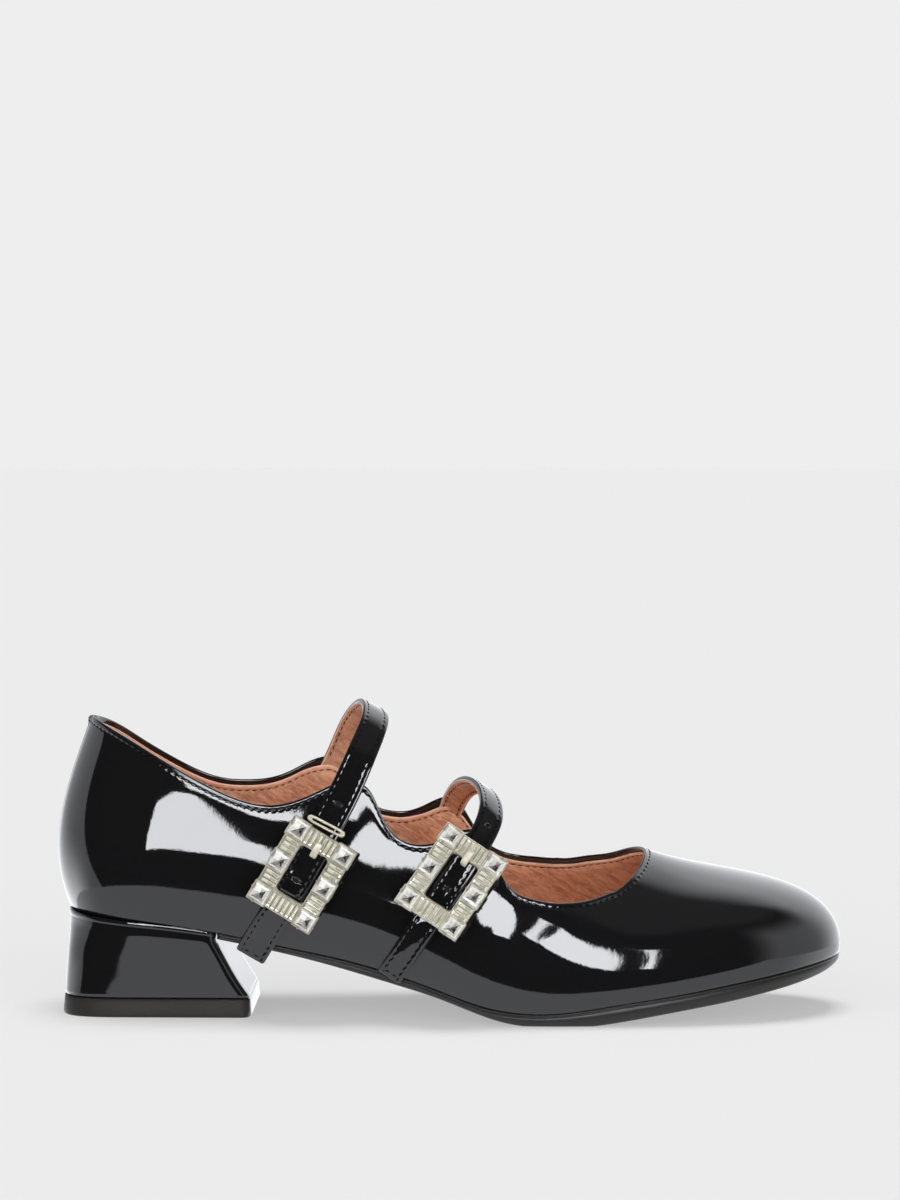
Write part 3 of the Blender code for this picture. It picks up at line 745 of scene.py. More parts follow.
# painted highlight: a lighter copy of the lining for its folded edges, which face up into the light
lining_edge_highlight = make_lining("lining_edge_highlight", (0.90, 0.56, 0.40), (0.80, 0.45, 0.31), 0.12)
print("made", lining.name, "and", lining_edge_highlight.name)

# %% [markdown]
# The outsole is a satin synthetic and the top lift a plain rubber. Both are a little dull
# and lightly rubbed, so their roughness varies and they show no sharp image. The heel's breast
# is glossy right down to the floor, so the lift has a lacquer coat on its front face alone.

# %% Sole, lift, threads and metals
LACQUER_FROM = 29.3         # where the lift's lacquered front face begins, in mm from the heel's middle
LACQUER_FULL = 29.7


def make_sole(name, tone, roughness, grain, shine=0.5, lacquered=False):
    # painted reflection: the base colour's slight warmth stands in for the warm shadowed floor that the
    # edges of sole and lift mirror
    made, nodes, shader = new_finish(name, (tone, tone * 0.93, tone * 0.86), Coat_Weight=0.0,
                                     Specular_IOR_Level=shine)
    rub = nodes.noise(6.0, detail=4.0, stretch=(3.0, 1.0, 1.0))
    nodes.plug(shader.inputs["Roughness"], roughness - 0.06 + rub * 0.14)
    nodes.plug(shader.inputs["Normal"], nodes.bump(nodes.noise(0.5, detail=3.0), grain))
    if lacquered:
        ahead, _, _ = nodes.split(nodes.place())
        nodes.plug(shader.inputs["Coat Weight"], ahead.between(LACQUER_FROM, LACQUER_FULL))
    return made


def make_thread(name, tone):
    made, nodes, shader = new_finish(name, tone, Roughness=0.7, Specular_IOR_Level=0.12)
    nodes.plug(shader.inputs["Normal"], nodes.bump(nodes.noise(0.18, detail=1.0), 0.03))
    return made


CLOUD_SHADE = 0.80          # how much of its tone the plating keeps where it is cloudy


def make_metal(name, tone, roughness, metallic):
    """Soft bright plating, a little cloudy."""
    made, nodes, shader = new_finish(name, Metallic=metallic)
    cloud = nodes.noise(2.2, detail=3.0)
    darker = tuple(value * CLOUD_SHADE for value in tone)
    nodes.plug(shader.inputs["Base Color"], nodes.blend(cloud.between(0.35, 0.65), darker, tone))
    nodes.plug(shader.inputs["Roughness"], roughness + cloud * 0.12)
    return made


def make_stone(name, dark, middle, light):
    """A foil-backed stone. The light that its facets throw about is held as a tone on each facet."""
    made, nodes, shader = new_finish(name, Metallic=0.30, Coat_Weight=1.0, Coat_Roughness=0.02)
    facet = nodes.add("ShaderNodeAttribute", {"attribute_name": "painted_facet_light"}, output=2)
    speck = nodes.noise(0.7, detail=2.0).between(0.35, 0.65)
    tone = facet * 0.86 + speck * 0.14
    low = nodes.blend(tone.between(0.05, 0.5), dark, middle)
    nodes.plug(shader.inputs["Base Color"], nodes.blend(tone.between(0.5, 0.95), low, light))
    nodes.plug(shader.inputs["Roughness"], 0.10 + speck * 0.08)
    return made


sole_black = make_sole("satin_sole", 0.017, 0.36, 0.02)
lift_rubber = make_sole("lift_rubber", 0.030, 0.46, 0.008, shine=0.16, lacquered=True)
black_thread = make_thread("black_thread", (0.003, 0.003, 0.003))
brown_thread = make_thread("brown_thread", (0.10, 0.035, 0.018))
setting_metal = make_metal("setting_metal", (0.46, 0.43, 0.35), 0.28, 0.55)
pale_gold = make_metal("pale_gold", (0.74, 0.70, 0.56), 0.34, 0.25)
square_stone = make_stone("square_stone", (0.035, 0.03, 0.035), (0.52, 0.51, 0.47), (1.0, 0.99, 0.93))
baguette_stone = make_stone("baguette_stone", (0.15, 0.13, 0.08), (0.50, 0.48, 0.37), (0.86, 0.85, 0.74))
# painted shade: the near-black finish of the discs low in the punch holes
punched = new_finish("hole_painted_shade", (0.004, 0.004, 0.004), Roughness=0.8)[0]
print("finishes:", len(bpy.data.materials))

# %% [markdown]
# ## The wall of the upper
# Seams, rolled edges and linings are all laid out by a shoemaker's own measures: how far
# below the rim, and how far in from the outer face. `Wall` turns those two measures into
# points, at a row of stations round the shoe.

# %% Measure down from the rim
SEAM_FINE = 0.0085          # share of the way round, on each side of the back seam, made finer
FINE_STATIONS = 19


def stations_round(count):
    """Stations from the back seam round the shoe, closer together at the seam."""
    even = np.linspace(0.0, 1.0, count + 1)
    fine = np.linspace(0.0, SEAM_FINE, FINE_STATIONS)
    return np.unique(np.round(np.concatenate([even, fine, 1.0 - fine]), 6))


class Wall:
    """The upper's wall in a maker's measures, in millimetres."""

    STEPS = 240

    def __init__(self, stations):
        self.stations = stations
        shares = topline_shares(stations[:-1])
        shares = np.append(shares, shares[0])
        self.ups = shares[:, None] * np.linspace(1.0, 0.0, self.STEPS)
        points = upper_face(stations[:, None], self.ups)
        lengths = np.linalg.norm(np.diff(points, axis=1), axis=2)
        self.depths = np.concatenate([np.zeros((len(stations), 1)), np.cumsum(lengths, axis=1)], axis=1)
        self.height = self.depths[:, -1]

    def up_at(self, depth):
        return np.array([np.interp(value, depths, ups)
                         for value, depths, ups in zip(depth, self.depths, self.ups)])

    def normals(self, up):
        step = 2e-4
        along = upper_face(self.stations + step, up) - upper_face(self.stations - step, up)
        rising = upper_face(self.stations, up + step) - upper_face(self.stations, up - step)
        return unit(np.cross(along, rising))

    def at(self, depth, inward=0.0, relief=None):
        """Points at a depth under the rim and a distance in from the face, one for each station."""
        depth = np.broadcast_to(np.asarray(depth, float), self.stations.shape)
        inward = np.broadcast_to(np.asarray(inward, float), self.stations.shape)
        up = self.up_at(np.clip(depth, 0.0, self.height))
        point = upper_face(self.stations, up)
        normal = self.normals(up)
        lift = relief(point, depth) if relief else 0.0
        return point + normal * (lift - inward)[..., None]


wall = Wall(stations_round(640))
print("wall height at the back seam:", round(float(wall.height[0]), 1), "mm")

# %% [markdown]
# No real upper is a perfect surface. Lasting leaves soft troughs and fullness, the stiffener
# in the heel ends in a faint step, and the two halves meet in a pressed seam at the back.
# Each is placed in the shoe's own sizes.

# %% Soft troughs, seam and rolled edge
Crease = namedtuple("Crease", "side x z run lean reach height")
CREASES = [
    #      side -1 is the outer one; the middle, then half length, lean in degrees, half width, height
    Crease(-1, 55.5, 61.0, 14.0, 62.0, 6.0, 0.42),      # pulled up under the rear strap
    Crease(-1, 108.0, 36.0, 10.0, 55.0, 3.0, -0.05),    # where the foot bends, outer side
    Crease(-1, 122.0, 30.0, 12.0, 40.0, 3.5, -0.06),
    Crease(-1, 20.0, 52.0, 16.0, 8.0, 4.0, 0.05),       # along the edge of the heel's stiffener
    Crease(-1, 84.0, 38.0, 12.0, 65.0, 3.0, -0.04),
    Crease(1, 118.0, 34.0, 14.0, 50.0, 4.0, -0.10),     # and on the inner side
    Crease(1, 70.0, 40.0, 18.0, 20.0, 5.0, -0.10),
]
STITCH_DEPTH = 1.9          # stitch row under the rim
STITCH_PITCH = 2.4
NO_SEAM = 9.0               # a distance that no stitch dimple reaches
EDGE_RADIUS = 0.6           # of the rolled edge


def ridge(off, height, width):
    """A soft ridge, or a groove where its height is negative, that falls away over a width."""
    return height * np.exp(-(off / width) ** 2)


def soft_step(off, width):
    """0 well before, 1 well after, and a smooth step between them."""
    return 1 / (1 + np.exp(-off / width))


def crease_lift(points, crease):
    """How far one soft trough or ridge moves each point."""
    lean = math.radians(crease.lean)
    off_x, off_z = points[:, 0] - crease.x, points[:, 2] - crease.z
    along = (off_x * math.cos(lean) + off_z * math.sin(lean)) / crease.run
    across = (off_z * math.cos(lean) - off_x * math.sin(lean)) / crease.reach
    return crease.height * np.exp(-along ** 2 - across ** 2) * soft_step(crease.side * points[:, 1], 4.0)


def patent_relief(points, depth):
    """Outward move of the patent face at a depth under the rim."""
    lift = sum(crease_lift(points, crease) for crease in CREASES)
    fold = ridge(depth - 0.9, 0.10, 0.75)
    groove = ridge(depth - STITCH_DEPTH, -0.16, 0.30)
    roll = ridge(depth, -0.17, 3.4)
    aside = points[:, 1]
    pressed = ridge(aside, 0.34, 1.25) + ridge(aside, -0.50, 0.30)
    tucked = ridge(aside, 0.8, 1.7) * ridge(depth - 1.3, 1.0, 1.4)      # the seam's end, at the rim
    behind = np.where(points[:, 0] < 0, 1.0, 0.0)
    return lift + fold + groove + roll + (pressed + tucked) * behind


print("creases placed by hand:", len(CREASES))

# %% [markdown]
# The patent is cut as a thin shell of its own. At the rim it rolls over an edge and runs down
# inside as a narrow black band, which the lining then covers.

# %% Patent upper
PATENT_THICK = 2 * EDGE_RADIUS
RIM_BAND = 8.0              # the rings lie closer together from this depth up
RIM_DEPTHS = (7.0, 6.0, 5.0, 4.2, 3.5, 3.0, 2.6, 2.3, 2.1, 1.9, 1.7, 1.5, 1.2, 0.9)


def patent_rows():
    """Depth and inward distance of each ring of the shell, from the feather up and back down inside."""
    rows = [(wall.height - RIM_BAND) * share + RIM_BAND for share in np.linspace(1.0, 0.0, 58)]
    rings = [(depth, 0.0) for depth in [*rows, *RIM_DEPTHS]]
    for turn in np.linspace(0.0, math.pi, 9):
        rings.append((EDGE_RADIUS * (1 - math.sin(turn)), EDGE_RADIUS * (1 - math.cos(turn))))
    for depth in (1.5, 3.0, 5.0, RIM_BAND):
        rings.append((depth, PATENT_THICK))
    for share in np.linspace(0.12, 1.0, 10):
        rings.append((RIM_BAND + (wall.height - RIM_BAND) * share, PATENT_THICK))
    return rings


def make_patent_upper():
    rings = [wall.at(depth, inward, patent_relief) for depth, inward in patent_rows()]
    row = wall.at(STITCH_DEPTH)
    count = int(lengths_along(row)[-1] / STITCH_PITCH)
    number = chords(row) * count
    marks = [np.column_stack([number, 0 * number + (depth - STITCH_DEPTH if inward == 0.0 else NO_SEAM)])
             for depth, inward in patent_rows()]
    built = sheet(rings + rings[:1], marks + marks[:1])
    return add_piece("patent_upper", built, patent, replaces=["upper"])


make_patent_upper()

# %% [markdown]
# The lining stops a little below the rim and is turned under there, which makes a bead; the bead's lighter
# colour is a painted highlight.
# Where a strap is sewn in on the inner side the lining swells over the strap's end.

# %% Lining
LINING_TOP = 1.9            # depth of its turned edge under the rim
LINING_THICK = 0.75
LINING_BACK = PATENT_THICK + 0.05           # its hidden face, in from the patent's outer face
LINING_FACE = LINING_BACK + LINING_THICK    # and the face that shows
LINING_HIDDEN = 9.0         # depth at which the rings of the hidden face turn up to the edge
LINING_FLAT = 8.0           # this far under its edge the face runs on in even steps
LINING_FOOT = 0.6           # how far above the feather line it stops
LINING_STITCH = 1.7         # stitch row under the lining's own edge
LINING_STATIONS = np.linspace(0.0, 1.0, 561)
STRAP_ROOTS = (54.5, 91.0)  # x where the straps are sewn in on the inner side
ROOT_SWELL = 3.3            # how far it swells there, over how much of the wall's length and depth
ROOT_HALF = 9.0
ROOT_DEPTH = 15.0


def root_swell(points, depth):
    """How far the lining swells inwards over the sewn-in ends of the straps."""
    inner = np.where(points[:, 1] > 0, 1.0, 0.0)
    near = sum(np.exp(-((points[:, 0] - x) / ROOT_HALF) ** 4) for x in STRAP_ROOTS)
    return ROOT_SWELL * near * soft_step(ROOT_DEPTH - depth, 1.4) * inner


def lining_relief(points, depth):
    """Outward move of the lining: negative where it swells into the shoe."""
    below = depth - LINING_TOP
    bead = ridge(below - 0.5, -0.22, 0.55)
    groove = ridge(below - LINING_STITCH, 0.26, 0.40)
    pillow = ridge(below - 4.2, -0.30, 1.8)
    x, z = points[:, 0], points[:, 2]
    folds = np.sin(x / 1.35 + z / 1.1 + 2.0 * np.sin(x / 9.0)) * (1 + np.sin(x / 6.3)) / 2
    folds = folds * ridge(depth - 9.0, 0.13, 6.0)
    return bead + groove + pillow + folds - root_swell(points, depth)


def lining_rings(form):
    """The lining's section: up its hidden face, over the turned edge and down into the shoe."""
    radius = LINING_THICK / 2
    foot = form.height - LINING_FOOT
    rings = [(depth, LINING_BACK) for depth in (LINING_HIDDEN, 6.0, 4.0, 3.0)]
    for turn in np.linspace(0.0, math.pi, 7):
        depth = LINING_TOP + radius * (1 - math.sin(turn))
        rings.append((depth, LINING_BACK + radius * (1 - math.cos(turn))))
    for step in np.linspace(0.8, LINING_FLAT, 20):
        rings.append((LINING_TOP + step, LINING_FACE))
    start = LINING_TOP + LINING_FLAT
    for share in np.linspace(0.03, 1.0, 38):
        rings.append((start + (foot - start) * share, LINING_FACE))
    for share in np.linspace(1.0, 0.0, 4):
        rings.append((LINING_HIDDEN + (foot - LINING_HIDDEN) * share, LINING_BACK))
    return rings


def make_lining_shell():
    form = Wall(LINING_STATIONS)
    rings = [form.at(depth, inward, lining_relief) for depth, inward in lining_rings(form)]
    return add_piece("lining", sheet(rings), lining)


def make_lining_bead():
    """The fold along the lining's edge, as a thin skin over the turned edge, in a lighter colour that is a
    painted highlight.
    """
    form = Wall(LINING_STATIONS)
    middle = LINING_BACK + LINING_THICK / 2
    radius = LINING_THICK / 2 + 0.05
    rings = []
    for turn in np.linspace(-0.2, math.pi + 0.5, 10):
        depth = LINING_TOP + LINING_THICK / 2 - radius * math.sin(turn)
        rings.append((depth, middle - radius * math.cos(turn)))
    rings += [(LINING_TOP + 1.0, middle + radius + 0.02), (LINING_TOP + 1.25, middle + radius - 0.06),
              (LINING_TOP + 0.8, middle), (LINING_TOP + 0.55, middle - radius + 0.05)]
    corners = [form.at(depth, inward, lining_relief) for depth, inward in rings]
    corners.append(corners[0])
    return add_piece("lining_edge_fold", sheet(corners), lining_edge_highlight)


make_lining_shell()
make_lining_bead()

# %% [markdown]
# Machine stitches are short slanted grains of thread, each pulled into its hole at both ends.
# A row is made from one small stretched ball, repeated at an even pitch along a line.

# %% Rows of stitches
Stitch = namedtuple("Stitch", "length width height")
OUTER_STITCH = Stitch(1.45, 0.50, 0.40)
LINING_STITCH_SIZE = Stitch(1.75, 0.42, 0.36)
STITCH_SLANT = 0.10         # how far each one turns in its row
STITCH_PROUD = 0.12         # share of its height by which its middle stands out
STITCH_REACH = 0.4          # how far to either side a stitch looks for its direction
BATCH = 25                  # balls made before they join their row, because a long row grows slowly


def spaced(points, normals):
    """Even places along a line of points: middle, direction and normal of each."""
    run = lengths_along(points)
    count = max(2, int(run[-1] / STITCH_PITCH))
    at = (np.arange(count) + 0.5) * run[-1] / count

    def pick(values, where):
        return np.stack([np.interp(where, run, values[:, k]) for k in range(3)], axis=1)

    before, after = np.maximum(at - STITCH_REACH, 0.0), np.minimum(at + STITCH_REACH, run[-1])
    return pick(points, at), unit(pick(points, after) - pick(points, before)), unit(pick(normals, at))


def add_stitches(built, points, normals, size):
    """Adds a row of stitches to a bmesh."""
    batch = bmesh.new()
    for count, (middle, ahead, normal) in enumerate(zip(*spaced(points, normals))):
        along = unit(ahead + np.cross(normal, ahead) * STITCH_SLANT)
        side = np.cross(normal, along)
        turn = Matrix((along * size.length / 2, side * size.width / 2, normal * size.height / 2))
        turn = turn.transposed()
        placed = turn.to_4x4()
        placed.translation = Vector(middle + normal * size.height * STITCH_PROUD)
        bmesh.ops.create_uvsphere(batch, u_segments=8, v_segments=5, radius=1.0, matrix=placed)
        if count % BATCH == BATCH - 1:
            join(built, batch)
            batch = bmesh.new()
    join(built, batch)


def make_wall_stitches(name, depth, inward, relief, facing, size, thread):
    form = Wall(np.linspace(0.0, 1.0, 901))
    row = form.at(depth, inward, relief)
    normals = form.normals(form.up_at(np.broadcast_to(float(depth), form.stations.shape))) * facing
    built = bmesh.new()
    add_stitches(built, row, normals, size)
    return add_piece(name, built, thread, turn_out=False)


make_wall_stitches("topline_stitches", STITCH_DEPTH, 0.0, patent_relief, 1, OUTER_STITCH, black_thread)
make_wall_stitches("lining_stitches", LINING_TOP + LINING_STITCH, LINING_FACE, lining_relief, -1,
                   LINING_STITCH_SIZE, brown_thread)

# %% [markdown]
# ## Insole and outsole
# Both follow the feather line's outline. `rungs` lays points across the shoe between matching
# places on its two edges, and each plate then gets its own heights.

# %% Outline of the foot
def foot_outline(around, inset=0.0):
    """The feather line's outline in plan, moved inwards by a set distance."""
    step = 1e-4
    at = SECTIONS(around % 1.0)[..., 0:2]
    ahead = (SECTIONS((around + step) % 1.0) - SECTIONS((around - step) % 1.0))[..., 0:2]
    inward = np.stack([-ahead[..., 1], ahead[..., 0]], axis=-1)
    return at + inward / np.linalg.norm(inward, axis=-1)[..., None] * inset


def station_at(x, low, high):
    """Where the feather outline passes x, between two stations round the shoe."""
    stations = np.linspace(low, high, 4001)
    return stations[np.argmin(abs(SECTIONS(stations)[:, 0] - x))]


def rungs(count, start, inset, across):
    """Points across the sole, from start to the toe, between matching places of its two edges."""
    outer_side = station_at(start, 0.02, TOE)
    inner_side = station_at(start, TOE, 0.98)
    share = np.linspace(0.0, 1.0, count + 1)
    left = foot_outline(outer_side + (TOE - outer_side) * share, inset)
    right = foot_outline(inner_side + (TOE - inner_side) * share, inset)
    mix = np.linspace(0.0, 1.0, across + 1)[None, :, None]
    return left[:, None] * (1 - mix) + right[:, None] * mix


SOLE_START = 20.0           # the outsole butts against the heel's breast
LEAST_SOLE = 0.1            # left of its thickness under each row of its edge
print("outsole runs from x =", SOLE_START, "to", RIBS[TOE_RIB].foot_x, "mm")

# %% [markdown]
# The insole sock is lining leather glued over a thin board. It dips a little under the heel
# and the ball, and its edge turns down against the wall.

# %% Insole sock
INSOLE_INSET = WALL - 0.05  # it just touches the wall
INSOLE_LIFT = 0.1           # its underside, over the feather line
SOCK_EDGE = 1.0             # its thickness at the very edge
EDGE_DROP = 1.15            # how much thicker it is inside that, and how soon it gets there
EDGE_TURN = 0.9
SOCK_WIDTH = 60.0           # about, for that edge


def sock_height(points, share):
    """Top of the sock over the feather line; share runs from 0 to 1 across it."""
    x = points[..., 0]
    edge = np.minimum(share, 1 - share)[None, :] * SOCK_WIDTH
    crown = EDGE_DROP * (1 - np.exp(-edge / EDGE_TURN))
    dip = ridge(x - 2.0, -0.7, 20.0) + ridge(x - 126.0, -0.6, 24.0)
    middle = ridge(share[None, :] - 0.5, 1.0, 0.30)
    ripple = 0.05 * np.sin(x / 2.3 + 3.0 * np.sin(points[..., 1] / 7.0))
    return INSOLE_LIFT + SOCK_EDGE + crown + dip * middle + ripple


def make_sock():
    across = 44
    plan = rungs(180, HEEL_BACK, INSOLE_INSET, across)[2:]
    share = np.linspace(0.0, 1.0, across + 1)
    base = feather(plan[..., 0])
    top = np.concatenate([plan, (base + sock_height(plan, share))[..., None]], axis=-1)
    under = np.concatenate([plan, (base + INSOLE_LIFT)[..., None]], axis=-1)
    built = join(sheet(top), sheet(under[::-1]))
    bmesh.ops.bridge_loops(built, edges=[edge for edge in built.edges if edge.is_boundary])
    return add_piece("insole_sock", built, sock_leather, replaces=["insole"])


make_sock()

# %% [markdown]
# The outsole is a thin moulded unit. Its edge has a fine bead at the top, a groove below the
# bead and a wall that leans in to the tread, so the section is given as a short table.

# %% Outsole
EdgeRow = namedtuple("EdgeRow", "inset drop share")
SOLE_EDGE = [
    #       inset from the feather outline, then drop in mm plus a share of the rest of the height
    EdgeRow(0.60, 0.00, 0.0),
    EdgeRow(0.22, 0.02, 0.0),
    EdgeRow(0.02, 0.16, 0.0),
    EdgeRow(-0.06, 0.36, 0.0),
    EdgeRow(0.04, 0.56, 0.0),
    EdgeRow(0.34, 0.70, 0.0),
    EdgeRow(0.50, 0.84, 0.0),
    EdgeRow(0.34, 0.98, 0.0),
    EdgeRow(0.12, 1.10, 0.06),
    EdgeRow(0.10, 1.10, 0.30),
    EdgeRow(0.26, 1.10, 0.55),
    EdgeRow(0.52, 1.10, 0.80),
    EdgeRow(0.84, 1.10, 0.94),
    EdgeRow(1.40, 1.10, 1.0),
]


def tread(x):
    """Underside of the outsole; it is flat on the floor under the ball."""
    return np.maximum(tread_line(x), 0.0)


def sole_height(x, row):
    top = feather(x) - SEAM_GAP
    left = np.maximum(top - tread(x) - row.drop, LEAST_SOLE)
    return top - row.drop - left * row.share


def round_plate(plan):
    """The border of a plate's points as one closed loop."""
    return np.concatenate([plan[:, 0], plan[::-1, -1], plan[0, ::-1]])


def make_outsole():
    across, count = 14, 200
    rows = []
    for row in SOLE_EDGE:
        loop = round_plate(rungs(count, SOLE_START, row.inset, across))
        rows.append(np.column_stack([loop, sole_height(loop[:, 0], row)]))
    built = sheet(rows)
    for row, order in ((SOLE_EDGE[0], 1), (SOLE_EDGE[-1], -1)):
        plan = rungs(count, SOLE_START, row.inset, across)
        plate = np.concatenate([plan, sole_height(plan[..., 0], row)[..., None]], axis=-1)
        join(built, sheet(plate[::order]))
    return add_piece("outsole_unit", built, sole_black, replaces=["outsole"])


make_outsole()

# %% [markdown]
# ## Heel
# The block is a moulded core wrapped in the same patent. Its plan is a D: a squared round at
# the back, straight sides and a straight breast. The wrap is turned in at the top over a
# padded lip, and the rubber top lift below it is a plain slab with eased edges.

# %% Plan of the heel
LIFT_HEIGHT = 5.7
BREAST_CORNER = 3.0
Level = namedtuple("Level", "rise back front half_width squareness")
BLOCK_LEVELS = [
    #     rise   back   front  half width, squareness
    Level(0.0, -29.9, 30.0, 22.4, 4.2),
    Level(0.22, -29.6, 27.0, 23.2, 3.9),
    Level(0.45, -29.2, 24.2, 24.0, 3.6),
    Level(0.68, -28.8, 21.6, 24.9, 3.1),
    Level(0.86, -28.6, 19.4, 25.6, 2.8),
]
LIP_RISE = 0.94             # where the wrap's padded lip begins
LIP_BULGE = 0.22
BLOCK_EASE = 0.45           # how far its lower edge is rounded off, and its upper one
LIP_EASE = 0.5
LIFT_BOTTOM = Level(0.0, -30.5, 30.5, 23.6, 4.4)
LIFT_TOP = Level(1.0, -30.0, 30.1, 22.6, 4.4)
LIFT_EASE_LOW = 0.45
LIFT_EASE_HIGH = 0.25


def block_level(rise):
    """The block's plan at a rise, with the lip's rounding near the top."""
    rows = np.array(BLOCK_LEVELS, float)
    level = Curve(rows[:, 0], rows[:, 1:])(min(rise, BLOCK_LEVELS[-1].rise))
    over = max(0.0, (rise - LIP_RISE) / (1 - LIP_RISE))
    bulge = LIP_BULGE * math.sqrt(max(0.0, 1 - (2 * over - 1) ** 2)) if over > 0 else 0.0
    back, front, half_width, squareness = level
    return Level(rise, back - bulge * 0.8, front, half_width + bulge, squareness)


def heel_ring(level, height):
    """A D in plan: a squared round at the back, straight sides and a straight breast."""
    ring = []
    for turn in np.linspace(-90.0, 90.0, 97):
        cosine, sine = math.cos(math.radians(turn)), math.sin(math.radians(turn))
        x = level.back * abs(cosine) ** (2 / level.squareness)
        y = level.half_width * math.copysign(abs(sine) ** (2 / level.squareness), sine)
        ring.append((x, y))
    side, front = level.half_width, level.front
    for x in np.linspace(0.0, front - BREAST_CORNER, 14)[1:-1]:
        ring.append((x, side))
    quarter = np.linspace(0.0, math.pi / 2, 7)
    middle_x, middle_y = front - BREAST_CORNER, side - BREAST_CORNER
    ring += [(middle_x + BREAST_CORNER * math.sin(a), middle_y + BREAST_CORNER * math.cos(a))
             for a in quarter]
    ring += [(front, y) for y in np.linspace(middle_y, -middle_y, 12)[1:-1]]
    ring += [(middle_x + BREAST_CORNER * math.cos(a), -middle_y - BREAST_CORNER * math.sin(a))
             for a in quarter]
    for x in np.linspace(front - BREAST_CORNER, 0.0, 14)[1:-1]:
        ring.append((x, -side))
    return np.array([(x, y, height(x, level.rise)) for x, y in ring + ring[:1]])


print("levels of the heel block:", len(BLOCK_LEVELS))

# %% Heel block and top lift
def block_height(x, rise):
    """The block stands on the lift and reaches up to the seat's slope."""
    bottom = LIFT_HEIGHT + GAP
    seat = feather(x) - SEAM_GAP
    return bottom + (seat - bottom) * rise


def lift_height(x, rise):
    return LIFT_HEIGHT * rise


def shrunk(ring, by):
    """A ring drawn in towards its middle by a distance."""
    middle = ring[:-1].mean(axis=0)
    away = ring - middle
    away[:, 2] = 0.0
    return ring - unit(away) * by


def add_capped(name, rings, finish, replaces):
    """A piece from rings whose first and last are closed by a flat face."""
    built = sheet(rings)
    bmesh.ops.holes_fill(built, edges=[edge for edge in built.edges if edge.is_boundary], sides=0)
    return add_piece(name, built, finish, replaces=replaces)


def make_heel_block():
    rises = np.concatenate([np.linspace(0.012, 0.92, 26), np.linspace(0.93, 1.0, 18)])
    rings = [heel_ring(block_level(rise), block_height) for rise in rises]
    eased = shrunk(heel_ring(block_level(0.0), block_height), BLOCK_EASE)
    rings = [shrunk(eased, 3.0), eased] + rings + [shrunk(rings[-1], LIP_EASE), shrunk(rings[-1], 5.0)]
    return add_capped("heel_wrap", rings, patent, ["heel_block"])


def make_top_lift():
    bottom, top = np.array(LIFT_BOTTOM), np.array(LIFT_TOP)
    rings = []
    for rise in (0.0, 0.05, 0.12, 0.4, 0.7, 0.95, 1.0):
        ring = heel_ring(Level(*(bottom * (1 - rise) + top * rise)), lift_height)
        low_ease = LIFT_EASE_LOW * max(0.0, 1 - rise / 0.12) ** 2
        high_ease = LIFT_EASE_HIGH * max(0.0, (rise - 0.95) / 0.05)
        rings.append(shrunk(ring, low_ease + high_ease))
    rings = [shrunk(rings[0], 3.0)] + rings + [shrunk(rings[-1], 3.0)]
    return add_capped("heel_lift", rings, lift_rubber, ["heel_top_lift"])


make_heel_block()
make_top_lift()

# %% [markdown]
# ## Straps
# Each strap is one long ribbon: it hangs on the outer side, crosses the instep and is sewn in
# under the lining of the inner side. Rays sent against the upper's plain face find where the
# ribbon lies, so the straps keep to the wall whatever the creases do.

# %% Find the wall
STRAP_THICK = 2.0
STRAP_SEAT = 0.4            # how far a strap's lining face lies off the upper
CAST_FROM = 90.0            # rays start this far out on the outer side
CAST_ABOVE = 1.0            # and at least this far above the feather line
OUTER_SHARE = 0.6           # a height on the outer side is looked for up to this share of a strap
UNDER_SHARE = 0.7           # and what a buckle rests on up to this one


def surface_tree():
    """The upper's plain outer face up to the tops of its ribs."""
    stations = np.linspace(0.0, 1.0, 361)
    face = sheet([upper_face(stations, row / 30) for row in range(31)])
    tree = BVHTree.FromBMesh(face)
    face.free()
    return tree


TREE = surface_tree()


def on_outer_side(x, z, stand_off):
    """A point off the outer side's face, at an x and a height; below the wall it hangs straight down."""
    level = max(z, float(feather(x)) + CAST_ABOVE)
    hit, normal, _, _ = TREE.ray_cast(Vector((x, -CAST_FROM, level)), Vector((0, 1, 0)))
    if normal.y > 0:
        normal = -normal
    hit += normal * stand_off
    return np.array((hit.x, hit.y, hit.z + z - level))


def inside_inner_side(x, z, stand_off):
    """A point inside the inner side's wall, at an x and a height."""
    hit, normal, _, _ = TREE.ray_cast(Vector((x, 0.0, z)), Vector((0, 1, 0)))
    if normal.y > 0:
        normal = -normal
    return np.array(hit + normal * (WALL + stand_off))


print("outer wall at the ball:", round(float(-on_outer_side(120.0, 20.0, 0.0)[1]), 1), "mm from the middle")

